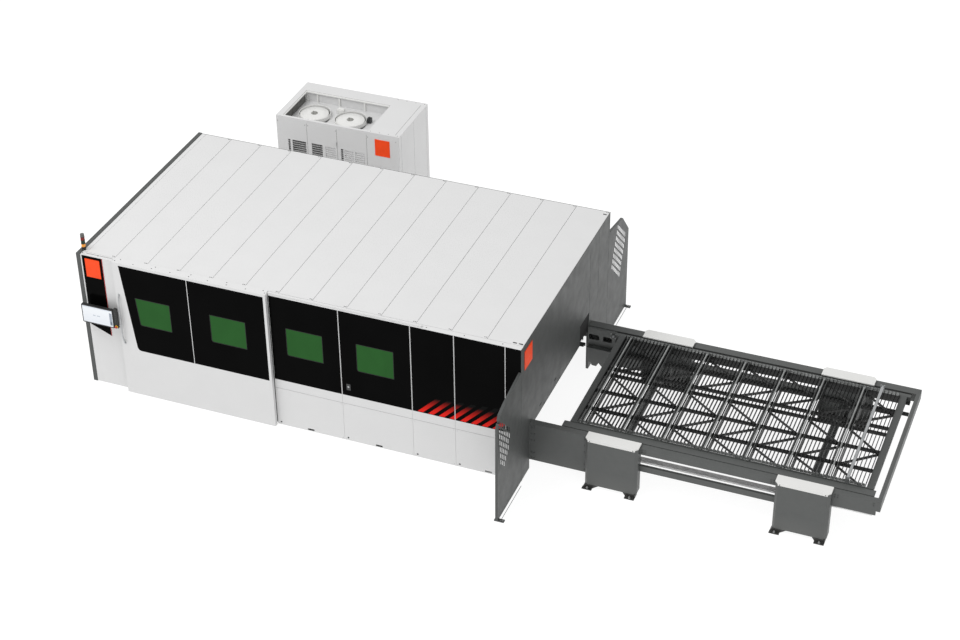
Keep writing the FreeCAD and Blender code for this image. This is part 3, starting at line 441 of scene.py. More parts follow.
def to_object(name, bm, material, body, stands_for=(), bevel=0.0, segments=2,
              smooth=False):
    bmesh.ops.recalc_face_normals(bm, faces=bm.faces)
    mesh = bpy.data.meshes.new(name)
    bm.to_mesh(mesh)
    bm.free()
    for poly in mesh.polygons:
        poly.use_smooth = smooth
    mesh.materials.append(material)
    obj = bpy.data.objects.new(name, mesh)
    bpy.context.scene.collection.objects.link(obj)
    if bevel:
        mod = obj.modifiers.new("edges", "BEVEL")
        mod.width, mod.segments, mod.limit_method = bevel, segments, "ANGLE"
        mod.angle_limit = math.radians(35)
        flatten(obj)
    return keep(obj, body, stands_for)


def flatten(obj):
    """Turns the evaluated shape into the object's own mesh and drops its modifiers."""
    bpy.context.view_layer.update()
    mesh = bpy.data.meshes.new_from_object(
        obj.evaluated_get(bpy.context.evaluated_depsgraph_get()))
    obj.modifiers.clear()
    obj.data = mesh


def block(bm, lo, hi):
    """Closed box between two corners."""
    v = [bm.verts.new((x, y, z)) for x in (lo[0], hi[0]) for y in (lo[1], hi[1])
         for z in (lo[2], hi[2])]
    for f in ((0, 1, 3, 2), (4, 6, 7, 5), (0, 4, 5, 1), (2, 3, 7, 6), (0, 2, 6, 4),
              (1, 5, 7, 3)):
        bm.faces.new([v[i] for i in f])


def lathe(bm, centre, profile, axis="z", sides=24, ring=False):
    """Closed turned shape: profile holds (radius, height) pairs along the axis. A ring's
    profile closes on itself and leaves a hole through the middle."""
    rings = []
    for r, h in profile:
        circle = []
        for k in range(sides):
            a = 2 * math.pi * k / sides
            c, s = r * math.cos(a), r * math.sin(a)
            p = {"z": (c, s, h), "y": (c, h, s), "x": (h, c, s)}[axis]
            circle.append(bm.verts.new(Vector(centre) + Vector(p)))
        rings.append(circle)
    walls = list(zip(rings, rings[1:] + rings[:1]))
    for a, b in walls if ring else walls[:-1]:
        for k in range(sides):
            bm.faces.new((a[k], a[(k + 1) % sides], b[(k + 1) % sides], b[k]))
    if not ring:
        bm.faces.new(rings[0])
        bm.faces.new(list(reversed(rings[-1])))


def plate(bm, near, far):
    """Closed plate between two copies of one outline."""
    a = [bm.verts.new(p) for p in near]
    b = [bm.verts.new(p) for p in far]
    bm.faces.new(a)
    bm.faces.new(b[::-1])
    for k in range(len(a)):
        j = (k + 1) % len(a)
        bm.faces.new((a[k], a[j], b[j], b[k]))


def sweep(bm, points, radius, sides=10):
    """Round bar along a smooth path."""
    ring_at = []
    for i, p in enumerate(points):
        a = Vector(points[max(0, i - 1)])
        b = Vector(points[min(len(points) - 1, i + 1)])
        d = (b - a).normalized()
        up = Vector((0, 0, 1)) if abs(d.z) < 0.9 else Vector((0, 1, 0))
        s = d.cross(up).normalized()
        u = s.cross(d)
        ring_at.append([bm.verts.new(Vector(p) + radius * (math.cos(t) * s + math.sin(t) * u))
                        for t in (2 * math.pi * k / sides for k in range(sides))])
    for a, b in zip(ring_at, ring_at[1:]):
        for k in range(sides):
            bm.faces.new((a[k], a[(k + 1) % sides], b[(k + 1) % sides], b[k]))
    bm.faces.new(ring_at[0])
    bm.faces.new(list(reversed(ring_at[-1])))


def rounded_copy(node, width, material, body, segments=2):
    """The node's own shape with its sharp edges rounded, standing for the node."""
    bm = bmesh.new()
    bm.from_mesh(NODES[node].data)
    bmesh.ops.remove_doubles(bm, verts=bm.verts, dist=1e-5)
    bmesh.ops.dissolve_limit(bm, angle_limit=math.radians(1), verts=bm.verts,
                             edges=bm.edges)
    return to_object(node + "_shape", bm, material, body, (node,), width, segments)


# -------------------------------------------------------- geometry node trees
def new_tree(name, sizes):
    """Geometry tree with named size inputs; sizes maps a name to (kind, default)."""
    t = bpy.data.node_groups.new(name, "GeometryNodeTree")
    t.interface.new_socket("Geometry", in_out="INPUT", socket_type="NodeSocketGeometry")
    for key, (kind, value) in sizes.items():
        t.interface.new_socket(key, in_out="INPUT",
                               socket_type="NodeSocket" + kind).default_value = value
    t.interface.new_socket("Geometry", in_out="OUTPUT", socket_type="NodeSocketGeometry")
    return t, add(t, "NodeGroupInput").outputs, add(t, "NodeGroupOutput")


def end_tree(t, out, geometry, material):
    real = add(t, "GeometryNodeRealizeInstances", {"Geometry": geometry})
    done = add(t, "GeometryNodeSetMaterial", {"Geometry": real.outputs[0],
                                              "Material": material})
    t.links.new(done.outputs[0], out.inputs["Geometry"])
    return t


def maths(t, op, a, b=0.0):
    return add(t, "ShaderNodeMath", {0: a, 1: b}, operation=op).outputs[0]


def aimed(t, spin_seed=None):
    """Rotation that turns +Z to each point's aim, with a seeded turn about it."""
    aim = add(t, "GeometryNodeInputNamedAttribute", {"Name": "aim"},
              data_type="FLOAT_VECTOR").outputs["Attribute"]
    rot = add(t, "FunctionNodeAlignRotationToVector", {"Vector": aim}, axis="Z").outputs[0]
    if spin_seed is None:
        return rot
    turn = add(t, "FunctionNodeRandomValue", {2: 0.0, 3: 2 * math.pi, "Seed": spin_seed},
               data_type="FLOAT").outputs[1]
    local = add(t, "FunctionNodeAxisAngleToRotation", {"Axis": (0, 0, 1), "Angle": turn})
    return add(t, "FunctionNodeRotateRotation", {"Rotation": rot,
                                                 "Rotate By": local.outputs[0]},
               rotation_space="LOCAL").outputs[0]


def joined(t, parts):
    j = add(t, "GeometryNodeJoinGeometry")
    for p in parts:
        t.links.new(p, j.inputs[0])
    return j.outputs[0]


def fastener_tree(material):
    """A washer, a tapered head and a stud end at every point, facing its aim."""
    t, i, out = new_tree("Fasteners " + material.name, {
        "Head radius": ("Float", 0.007), "Head height": ("Float", 0.004),
        "Sides": ("Int", 6), "Taper": ("Float", 0.8), "Washer radius": ("Float", 0.01),
        "Washer height": ("Float", 0.0015), "Stud height": ("Float", 0.0),
        "Seed": ("Int", 4)})

    def ring(sides, r0, r1, depth, z):
        c = add(t, "GeometryNodeMeshCone", {"Vertices": sides, "Radius Bottom": r0,
                                            "Radius Top": r1, "Depth": depth}).outputs[0]
        at = add(t, "ShaderNodeCombineXYZ", {"Z": z}).outputs[0]
        return add(t, "GeometryNodeTransform", {"Geometry": c, "Translation": at}).outputs[0]
    top = maths(t, "MULTIPLY", i["Head radius"], i["Taper"])
    thread = maths(t, "MULTIPLY", i["Head radius"], 0.45)
    head_top = maths(t, "ADD", i["Washer height"], i["Head height"])
    shape = joined(t, [ring(12, i["Washer radius"], i["Washer radius"], i["Washer height"],
                            0.0),
                       ring(i["Sides"], i["Head radius"], top, i["Head height"],
                            i["Washer height"]),
                       ring(8, thread, thread, i["Stud height"], head_top)])
    on = add(t, "GeometryNodeInstanceOnPoints", {"Points": i["Geometry"], "Instance": shape,
                                                 "Rotation": aimed(t, i["Seed"])})
    return end_tree(t, out, on.outputs[0], material)


def slat_tree(material):
    """Toothed flat bars standing on edge, one at every point."""
    t, i, out = new_tree("Support slats", {
        "Length": ("Float", 2.2), "Height": ("Float", 0.07), "Teeth": ("Int", 88),
        "Tooth depth": ("Float", 0.018), "Thickness": ("Float", 0.003)})
    columns = maths(t, "ADD", maths(t, "MULTIPLY", i["Teeth"], 2.0), 1.0)
    grid = add(t, "GeometryNodeMeshGrid", {"Size X": i["Length"], "Size Y": i["Height"],
                                           "Vertices X": columns, "Vertices Y": 2})
    index = add(t, "GeometryNodeInputIndex").outputs[0]
    upper = maths(t, "MODULO", index, 2.0)
    column = maths(t, "FLOOR", maths(t, "DIVIDE", index, 2.0))
    dip = maths(t, "MULTIPLY", maths(t, "MODULO", column, 2.0), upper)
    drop = maths(t, "MULTIPLY", maths(t, "MULTIPLY", dip, i["Tooth depth"]), -1.0)
    move = add(t, "ShaderNodeCombineXYZ", {"Y": drop}).outputs[0]
    flat = add(t, "GeometryNodeSetPosition", {"Geometry": grid.outputs[0],
                                              "Offset": move}).outputs[0]
    front = add(t, "GeometryNodeExtrudeMesh", {"Mesh": flat, "Offset Scale": i["Thickness"],
                                               "Individual": False}, mode="FACES").outputs[0]
    back = add(t, "GeometryNodeFlipFaces", {"Mesh": flat}).outputs[0]
    bar = add(t, "GeometryNodeMergeByDistance", {"Geometry": joined(t, [front, back]),
                                                 "Distance": 0.0002}).outputs[0]
    half = maths(t, "MULTIPLY", i["Thickness"], -0.5)
    shift = add(t, "ShaderNodeCombineXYZ", {"X": half}).outputs[0]
    bar = add(t, "GeometryNodeTransform", {
        "Geometry": bar, "Translation": shift,
        "Rotation": (math.pi / 2, 0, math.pi / 2)}).outputs[0]
    on = add(t, "GeometryNodeInstanceOnPoints", {"Points": i["Geometry"], "Instance": bar})
    return end_tree(t, out, on.outputs[0], material)


def louvre_tree(material):
    """A bank of tilted blades down from every point."""
    t, i, out = new_tree("Louvre banks", {
        "Width": ("Float", 0.3), "Blades": ("Int", 8), "Pitch": ("Float", 0.042),
        "Depth": ("Float", 0.03), "Thickness": ("Float", 0.002), "Tilt": ("Float", 0.7)})
    size = add(t, "ShaderNodeCombineXYZ", {"X": i["Width"], "Y": i["Depth"],
                                           "Z": i["Thickness"]}).outputs[0]
    blade = add(t, "GeometryNodeMeshCube", {"Size": size}).outputs[0]
    turn = add(t, "ShaderNodeCombineXYZ", {"X": i["Tilt"]}).outputs[0]
    turn = add(t, "FunctionNodeEulerToRotation", {"Euler": turn}).outputs[0]
    down = add(t, "ShaderNodeCombineXYZ", {
        "Z": maths(t, "MULTIPLY", i["Pitch"], -1.0)}).outputs[0]
    line = add(t, "GeometryNodeMeshLine", {"Count": i["Blades"], "Offset": down}).outputs[0]
    bank = add(t, "GeometryNodeInstanceOnPoints", {"Points": line, "Instance": blade,
                                                   "Rotation": turn}).outputs[0]
    on = add(t, "GeometryNodeInstanceOnPoints", {"Points": i["Geometry"], "Instance": bank})
    return end_tree(t, out, on.outputs[0], material)


def chain_tree(material):
    """Energy chain: side plates and cross bars along the edges of a path."""
    t, i, out = new_tree("Energy chain", {
        "Pitch": ("Float", 0.075), "Width": ("Float", 0.1), "Height": ("Float", 0.05)})
    path = add(t, "GeometryNodeMeshToCurve", {"Mesh": i["Geometry"]}).outputs[0]
    even = add(t, "GeometryNodeResampleCurve", {"Curve": path, "Length": i["Pitch"]},
               mode="LENGTH").outputs[0]
    along = add(t, "GeometryNodeInputTangent").outputs[0]
    rot = add(t, "FunctionNodeAlignRotationToVector", {"Vector": along}, axis="X").outputs[0]

    def part(sx, sy, sz, tx, ty, tz):
        size = add(t, "ShaderNodeCombineXYZ", {"X": sx, "Y": sy, "Z": sz}).outputs[0]
        at = add(t, "ShaderNodeCombineXYZ", {"X": tx, "Y": ty, "Z": tz}).outputs[0]
        c = add(t, "GeometryNodeMeshCube", {"Size": size}).outputs[0]
        return add(t, "GeometryNodeTransform", {"Geometry": c, "Translation": at}).outputs[0]
    side = maths(t, "MULTIPLY", i["Width"], 0.5)
    long_ = maths(t, "MULTIPLY", i["Pitch"], 1.08)
    bar_ = maths(t, "MULTIPLY", i["Pitch"], 0.35)
    lift = maths(t, "MULTIPLY", i["Height"], 0.44)
    link = joined(t, [part(long_, 0.008, i["Height"], 0.0, side, 0.0),
                      part(long_, 0.008, i["Height"], 0.0,
                           maths(t, "MULTIPLY", side, -1.0), 0.0),
                      part(bar_, i["Width"], 0.005, 0.0, 0.0, lift),
                      part(bar_, i["Width"], 0.005, 0.0, 0.0,
                           maths(t, "MULTIPLY", lift, -1.0))])
    on = add(t, "GeometryNodeInstanceOnPoints", {"Points": even, "Instance": link,
                                                 "Rotation": rot})
    return end_tree(t, out, on.outputs[0], material)


def curtain_tree(material):
    """Hanging rubber strips of uneven length along the edges of a path."""
    t, i, out = new_tree("Strip curtain", {
        "Strip width": ("Float", 0.05), "Length": ("Float", 0.2), "Spread": ("Float", 0.08),
        "Thickness": ("Float", 0.004), "Seed": ("Int", 7)})
    path = add(t, "GeometryNodeMeshToCurve", {"Mesh": i["Geometry"]}).outputs[0]
    even = add(t, "GeometryNodeResampleCurve", {"Curve": path, "Length": i["Strip width"]},
               mode="LENGTH").outputs[0]
    grid = add(t, "GeometryNodeMeshGrid", {"Size X": i["Strip width"], "Size Y": 1.0,
                                           "Vertices X": 3, "Vertices Y": 4}).outputs[0]
    pos = add(t, "GeometryNodeInputPosition").outputs[0]
    y = add(t, "ShaderNodeSeparateXYZ", {"Vector": pos})
    centre = maths(t, "SUBTRACT", 1.0, maths(t, "MULTIPLY", maths(
        t, "ABSOLUTE", y.outputs["X"]), 30.0))
    tip = maths(t, "MULTIPLY", maths(t, "LESS_THAN", y.outputs["Y"], -0.4), centre)
    off = add(t, "ShaderNodeCombineXYZ", {"Y": maths(t, "MULTIPLY", tip, -0.08)}).outputs[0]
    flap = add(t, "GeometryNodeSetPosition", {"Geometry": grid, "Offset": off}).outputs[0]
    front = add(t, "GeometryNodeExtrudeMesh", {"Mesh": flap, "Offset Scale": i["Thickness"],
                                               "Individual": False}, mode="FACES").outputs[0]
    back = add(t, "GeometryNodeFlipFaces", {"Mesh": flap}).outputs[0]
    flap = add(t, "GeometryNodeMergeByDistance", {"Geometry": joined(t, [front, back]),
                                                  "Distance": 0.0002}).outputs[0]
    flap = add(t, "GeometryNodeTransform", {"Geometry": flap, "Translation": (0, 0, -0.5),
                                            "Rotation": (math.pi / 2, 0, 0)}).outputs[0]
    low = maths(t, "SUBTRACT", i["Length"], i["Spread"])
    ln = add(t, "FunctionNodeRandomValue", {2: low, 3: i["Length"], "Seed": i["Seed"]},
             data_type="FLOAT").outputs[1]
    scale = add(t, "ShaderNodeCombineXYZ", {"X": 0.94, "Y": 1.0, "Z": ln}).outputs[0]
    along = add(t, "GeometryNodeInputTangent").outputs[0]
    rot = add(t, "FunctionNodeAlignRotationToVector", {"Vector": along}, axis="X").outputs[0]
    on = add(t, "GeometryNodeInstanceOnPoints", {"Points": even, "Instance": flap,
                                                 "Rotation": rot, "Scale": scale})
    return end_tree(t, out, on.outputs[0], material)


def lens_tree(material):
    """Ribbed drum standing on every point."""
    t, i, out = new_tree("Signal lens " + material.name, {
        "Radius": ("Float", 0.022), "Height": ("Float", 0.05), "Ribs": ("Int", 9),
        "Rib depth": ("Float", 0.0012)})
    steps = maths(t, "ADD", maths(t, "MULTIPLY", i["Ribs"], 2.0), 1.0)
    top = add(t, "ShaderNodeCombineXYZ", {"Z": i["Height"]}).outputs[0]
    line = add(t, "GeometryNodeCurvePrimitiveLine", {"End": top}).outputs[0]
    line = add(t, "GeometryNodeResampleCurve", {"Curve": line, "Count": steps},
               mode="COUNT").outputs[0]
    index = add(t, "GeometryNodeInputIndex").outputs[0]
    dent = maths(t, "MULTIPLY", maths(t, "MODULO", index, 2.0), i["Rib depth"])
    r = maths(t, "SUBTRACT", i["Radius"], maths(t, "SUBTRACT", i["Rib depth"], dent))
    line = add(t, "GeometryNodeSetCurveRadius", {"Curve": line, "Radius": r}).outputs[0]
    ring = add(t, "GeometryNodeCurvePrimitiveCircle", {"Resolution": 28,
                                                       "Radius": 1.0}).outputs[0]
    drum = add(t, "GeometryNodeCurveToMesh", {"Curve": line, "Profile Curve": ring,
                                              "Fill Caps": True})
    if "Scale" in drum.inputs:
        rad = add(t, "GeometryNodeInputRadius").outputs[0]
        t.links.new(rad, drum.inputs["Scale"])
    on = add(t, "GeometryNodeInstanceOnPoints", {"Points": i["Geometry"],
                                                 "Instance": drum.outputs[0]})
    return end_tree(t, out, on.outputs[0], material)


def seeds(spots, edges=False):
    """Mesh of points, each with the way it faces; edges join them into a path."""
    mesh = bpy.data.meshes.new("seeds")
    pairs = [(k, k + 1) for k in range(len(spots) - 1)] if edges else []
    mesh.from_pydata([s[0] for s in spots], pairs, [])
    a = mesh.attributes.new("aim", "FLOAT_VECTOR", "POINT")
    for k, s in enumerate(spots):
        a.data[k].vector = s[1]
    return mesh


def grow(name, mesh, tree, body, slot, stands_for=(), smooth=False, **sizes):
    """Runs a tree on a seed mesh and keeps the result as a plain mesh on a body."""
    obj = bpy.data.objects.new(name, mesh)
    bpy.context.scene.collection.objects.link(obj)
    mod = obj.modifiers.new("grow", "NODES")
    mod.node_group = tree
    ids = {s.name: s.identifier for s in tree.interface.items_tree if s.in_out == "INPUT"}
    for key, value in sizes.items():
        mod[ids[key.replace("_", " ")]] = value
    flatten(obj)
    for poly in obj.data.polygons:
        poly.use_smooth = smooth
    return keep(obj, body, stands_for)


UP, DOWN = (0, 0, 1), (0, 0, -1)
FRONT, BACK = (0, -1, 0), (0, 1, 0)
LEFT, RIGHT = (-1, 0, 0), (1, 0, 0)


def row(a, b, n, aim):
    """n spots evenly from a to b."""
    a, b = Vector(a), Vector(b)
    return [(a.lerp(b, k / (n - 1.0) if n > 1 else 0.5), aim) for k in range(n)]


# ------------------------------------------------------------------- places
X0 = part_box("left_slab")[0].x          # left end
Y0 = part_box("roof_panels")[0].y        # front skin
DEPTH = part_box("roof_panels")[1].y


def at(x, y, z):
    """Point given in mm from the left end, the front skin and the floor."""
    return Vector((X0 + x / 1000.0, Y0 + y / 1000.0, z / 1000.0))


class MachinePiece(bpy.types.Operator):
    """Base of the machine's operators"""
    bl_options = {"REGISTER", "UNDO"}

    def execute(self, context):
        self.make(context.scene.machine_sizes, context.scene.machine_colours)
        return {"FINISHED"}


class MACHINE_OT_finishes(MachinePiece):
    """Gives every carried-over part its finish"""
    bl_idname = "machine.finishes"
    bl_label = "Finishes"

    def make(self, s, c):
        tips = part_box("pallet_a_slats")[1].z
        tips_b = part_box("pallet_b_slats")[1].z
        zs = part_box("red_stripes")
        MATS.update(
            light=powder_coat("Powder-coated steel, light grey", c.light_panel),
            dark=powder_coat("Powder-coated steel, dark grey", c.dark_panel, 0.50, peel=0.03),
            frame=powder_coat("Powder-coated tube, dark", shade(c.dark_panel, 0.7), 0.5,
                              peel=0.03),
            table=floor_dust_coat("Powder-coated beams, mid grey", c.table),
            feet=floor_dust_coat("Black-painted plate", srgb("141616")),
            cap=powder_coat("Powder-coated cover, light", srgb("DADAD8"), 0.42),
            facing=back_painted_glass("Back-painted acrylic, black", c.facing),
            window=safety_window("Laser safety acrylic, green", c.window),
            sign=sign_enamel("Sprayed enamel plate", c.sign),
            stripe=fading_print("Screen-printed stripes", c.stripe, c.facing,
                                zs[0].z, zs[1].z - 0.02),
            steel=ground_steel("Ground steel", c.steel),
            bar=ground_steel("Drawn steel bar", c.steel, (1, 0.04, 1), 0.28),
            wheel=ground_steel("Turned steel", srgb("8E9091"), (1, 1, 1), 0.38),
            # painted shade: the pallet frames take half the pallet colour below 122 mm above their
            # foot, where the bars lie in shade under the slats
            pallet=light_and_shade_split("Welded pallet frame A, painted shade below", shade(c.pallet, 0.5),
                              c.dark_panel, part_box("pallet_a_frame")[0].z + 0.122),
            pallet_b=light_and_shade_split("Welded pallet frame B, painted shade below", shade(c.pallet, 0.5),
                                c.dark_panel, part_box("pallet_b_frame")[0].z + 0.122),
            # painted light: the carriage's front track below 0.62 m is near white, standing in for
            # the bright floor seen under the front beam
            lift=light_and_shade_split("Lift carriage, steel with painted light below", srgb("E6E6E6"), c.table, 0.62,
                            behind=Y0 + 1.0),
            louvre=powder_coat("Powder-coated louvres, grey", srgb("4A4A49"), 0.5),
            slat=mill_scale("Slat bar, mill scale A", c.slat, tips, srgb("4E5050")),
            slat_b=mill_scale("Slat bar, mill scale B", c.slat, tips_b, srgb("4E5050")),
            plate=ground_steel("Cross plate, worn bright", srgb("A2A4A3"), (1, 0.05, 1),
                               0.45),
            bed=cast_paint("Painted casting", c.bed),
            zinc=zinc_sheet("Galvanised sheet", srgb("A9ADAF")),
            alu=anodised("Anodised aluminium", srgb("B9BBBC")),
            black=moulded("Moulded ABS, black", srgb("111212"), 0.5),
            key=moulded("Moulded ABS, dark grey", srgb("2B2D2E"), 0.4),
            yellow=moulded("Moulded ABS, signal yellow", srgb("E8B418"), 0.4),
            red=moulded("Moulded ABS, signal red", srgb("B3150E"), 0.35),
            rubber=rubber("Black rubber", srgb("0D0D0D")),
            zinc_bolt=ground_steel("Zinc-plated fasteners", srgb("C9CACA"), (1, 1, 1), 0.34),
            screw=ground_steel("Blackened screws", srgb("4A4B4B"), (1, 1, 1), 0.45),
            screen=display("Touch display"),
            lens_red=signal_lens("Dyed lens, red", srgb("7E1A12")),
            lens_amber=signal_lens("Dyed lens, amber", srgb("E79A3A"), 0.15),
            lens_green=signal_lens("Dyed lens, green", srgb("12301F")),
            grey=moulded("Moulded cap, grey", srgb("5A5A57"), 0.45),
            hub=moulded("Moulded hub, mid grey", srgb("8A8A86"), 0.5),
            # dark grey sheet behind the dark louvre banks, and painted shade of their slots
            filter=rubber("Foam filter, dark grey", srgb("1E1F1F")))
        use = dict(
            light="roof_panels front_panels back_panels door_panel service_panel "
                  "cabinet_case cabinet_door door_rail",
            dark="left_slab end_wall wing_front wing_rear", frame="cabin_frame cabin_tracks",
            table="table_beams lift_columns drive_guard", lift="lift_carriage", feet="column_feet",
            cap="column_caps fan_left fan_right fan_mounts",
            facing="control_facing front_facing door_facing service_facing",
            window="front_pane door_panes service_pane", sign="sign_plates",
            stripe="red_stripes", steel="x_rails door_handle", bar="pallet_a_bar",
            wheel="pallet_a_wheels pallet_b_wheels", pallet="pallet_a_frame",
            pallet_b="pallet_b_frame",
            slat="pallet_a_slats", slat_b="pallet_b_slats", bed="machine_bed",
            zinc="scrap_trays extraction_duct cabinet_units media_duct",
            alu="gantry_beam y_carriage cutting_head",
            black="hmi_bracket hmi_case tower_body service_latch", screen="hmi_screen",
            key="hmi_keys", red="hmi_estop", lens_red="tower_lens_red",
            lens_amber="tower_lens_amber", lens_green="tower_lens_green")
        for key, names in use.items():
            for n in names.split():
                paint(n, MATS[key])
        left = set(NODES) - set(" ".join(use.values()).split())
        if left:
            raise RuntimeError("no finish for %s" % sorted(left))
        MATS["screws"] = fastener_tree(MATS["screw"])
        MATS["bolts"] = fastener_tree(MATS["zinc_bolt"])
        MATS["painted"] = fastener_tree(MATS["table"])


def screws(name, spots, body, slot, tree="screws", **sizes):
    return grow(name, seeds(spots), MATS[tree], body, slot, **sizes)


def panel_screws(name, spots, body, radius, **sizes):
    """Low panel screws on a thin washer."""
    return screws(name, spots, body, "steel_bare", Head_radius=radius, Head_height=0.003,
                  Washer_radius=radius * 1.2, Washer_height=0.0008, **sizes)


class MACHINE_OT_roof(MachinePiece):
    """Roof panels with rounded edges, seals in the seams, a front strip and screws"""
    bl_idname = "machine.roof"
    bl_label = "Roof"

    def make(self, s, c):
        lo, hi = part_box("roof_panels")
        n = s.roof_strips
        pitch = (hi.x + 0.001 - lo.x) / n
        front = lo.y + 0.092
        bm, seal = bmesh.new(), bmesh.new()
        spots = []
        block(bm, (lo.x, lo.y, lo.z), (hi.x, front - 0.003, hi.z - 0.001))
        for k in range(n):
            a, b = lo.x + k * pitch, lo.x + (k + 1) * pitch - s.roof_seam
            parts = [(a, b)] if k else [(a, a + 0.070), (a + 0.073, b)]
            for p, q in parts:
                block(bm, (p, front, lo.z), (q, hi.y, hi.z))
            if k < n - 1:
                block(seal, (b + 0.0005, front, lo.z), (b + s.roof_seam - 0.0005, hi.y,
                                                        hi.z - 0.0035))
            for y in (front + 0.03, hi.y - 0.03):
                spots += row((b - 0.045, y, hi.z - 0.0003), (b - 0.02, y, hi.z - 0.0003), 2,
                             UP)
        to_object("roof_skin", bm, MATS["light"], "machine", ("roof_panels",),
                  0.0012)
        to_object("roof_seals", seal, MATS["rubber"], "machine")
        panel_screws("roof_screws", spots, "machine", s.screw, Sides=8)
        z = hi.z - 0.001
        rim = row((lo.x + 0.02, lo.y + 0.045, z), (lo.x + 0.55, lo.y + 0.045, z), 3, UP)
        rim += row((lo.x + 3.35, lo.y + 0.045, z), (hi.x - 0.30, lo.y + 0.045, z), 7, UP)
        panel_screws("roof_front_screws", rim, "machine", s.screw, Sides=8)


class MACHINE_OT_cabin(MachinePiece):
    """Slab edge, control facing edge, panel screws, wing bolts and the end controls"""
    bl_idname = "machine.cabin"
    bl_label = "Cabin"

    def make(self, s, c):
        rounded_copy("left_slab", 0.004, MATS["dark"], "machine")
        lo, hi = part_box("control_facing")
        bm = bmesh.new()
        v = []
        for y in (lo.y - 0.001, hi.y - 0.0005):
            for x, z in ((hi.x - 0.001, lo.z), (hi.x + 0.007, lo.z - 0.003),
                         (hi.x + 0.007, hi.z), (hi.x - 0.001, hi.z)):
                v.append(bm.verts.new((x, y, z)))
        for f in ((0, 1, 2, 3), (7, 6, 5, 4), (0, 4, 5, 1), (1, 5, 6, 2), (2, 6, 7, 3),
                  (3, 7, 4, 0)):
            bm.faces.new([v[k] for k in f])
        to_object("control_edge", bm, MATS["red"], "machine", (), 0.0008)

        bays = (3250.0, 4381.0, 5524.0, 6208.0, 7246.0)
        spots, dark = [], []
        for a, b in zip(bays, bays[1:]):
            for z in (45, 680):
                spots += [(at(a + 30, 0, z), FRONT), (at(b - 30, 0, z), FRONT)]
            dark.append((at(a + 60, 0, 62), FRONT))
        screws("lower_panel_screws", spots, "machine", "steel_bare", "bolts",
               Head_radius=s.screw * 0.8, Head_height=0.0025, Washer_height=0.0006,
               Washer_radius=s.screw, Sides=8)
        screws("lower_panel_locks", dark, "machine", "case_black", Head_radius=0.011,
               Head_height=0.004, Washer_radius=0.014, Washer_height=0.002, Sides=12)
        bm = bmesh.new()
        for m in (3792.0, 4946.0, 6600.0):
            block(bm, at(m - 54, 8, 27), at(m + 54, 20, 57))
            for k in range(3):
                block(bm, at(m - 53, 2, 31 + 9 * k), at(m + 53, 8.5, 34 + 9 * k))
        to_object("lower_panel_grilles", bm, MATS["black"], "machine", (),
                  0.0008)

        spots = []
        for name, sign in (("wing_front", -1), ("wing_rear", 1)):
            a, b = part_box(name)
            y = a.y + 0.03 if sign < 0 else b.y - 0.03
            spots += [((b.x - 0.055, y, 0.017), UP), ((b.x - 0.02, y, 0.017), UP)]
        screws("wing_bolts", spots, "machine", "steel_bare", "bolts", Head_radius=0.008,
               Head_height=0.008, Washer_radius=0.013, Washer_height=0.002, Taper=0.95)

        # dark returns where the front and back skins meet the end wall
        bm = bmesh.new()
        for y0, y1 in ((-0.8, 42), (3938, 3978.8)):
            block(bm, at(7242, y0, 12), at(7248.2, y1, 2399))
        to_object("corner_returns", bm, MATS["dark"], "machine", (), 0.0006)
        # slots beside the pallet passage and hoist slots in the roof, as flat dark blocks of
        # painted shade, not cut; gutter and sill rail
        bm = bmesh.new()
        for y, z in ((1468, 881), (815, 867)):
            block(bm, at(7246, y - 42, z - 11), at(7247.8, y + 42, z + 11))
        for x, y in ((7190, 3878), (7190, 132), (7100, 132)):
            block(bm, at(x - 30, y - 12, 2398), at(x + 30, y + 12, 2400.6))
        block(bm, at(150, 52, 2398), at(622, 58, 2400.4))
        block(bm, at(80, 3966, 2398), at(7240, 3974, 2400.5))
        to_object("slot_shade_and_gutter", bm, MATS["rubber"], "machine", (),
                  0.0004)
        bm = bmesh.new()
        block(bm, at(7275, -905, 0), at(7283, -90, 6))
        block(bm, at(7275, 3978 + 90, 0), at(7283, 3978 + 960, 6))
        to_object("sill_rails", bm, MATS["zinc"], "machine", (), 0.001)

        z = 1290
        x = 7120
        bm = bmesh.new()
        block(bm, at(x - 45, -20, z - 150), at(x + 45, -0.5, z + 90))
        to_object("end_control_box", bm, MATS["grey"], "machine", (), 0.006, 3)
        bm = bmesh.new()
        lathe(bm, at(x, -20, z), [(0.030, 0.0), (0.030, -0.006), (0.026, -0.010)], "y")
        to_object("end_stop_collar", bm, MATS["yellow"], "machine",
                  smooth=False)
        bm = bmesh.new()
        lathe(bm, at(x, -30, z), [(0.012, 0.0), (0.012, -0.010), (0.020, -0.013),
                                  (0.021, -0.020), (0.017, -0.026), (0.006, -0.028)], "y")
        to_object("end_stop_button", bm, MATS["red"], "machine", smooth=True)
        bm = bmesh.new()
        for dz in (-60, -110):
            lathe(bm, at(x, -20, z + dz), [(0.014, 0.0), (0.014, -0.006), (0.010, -0.008)],
                  "y", 20)
        to_object("end_keys", bm, MATS["key"], "machine")


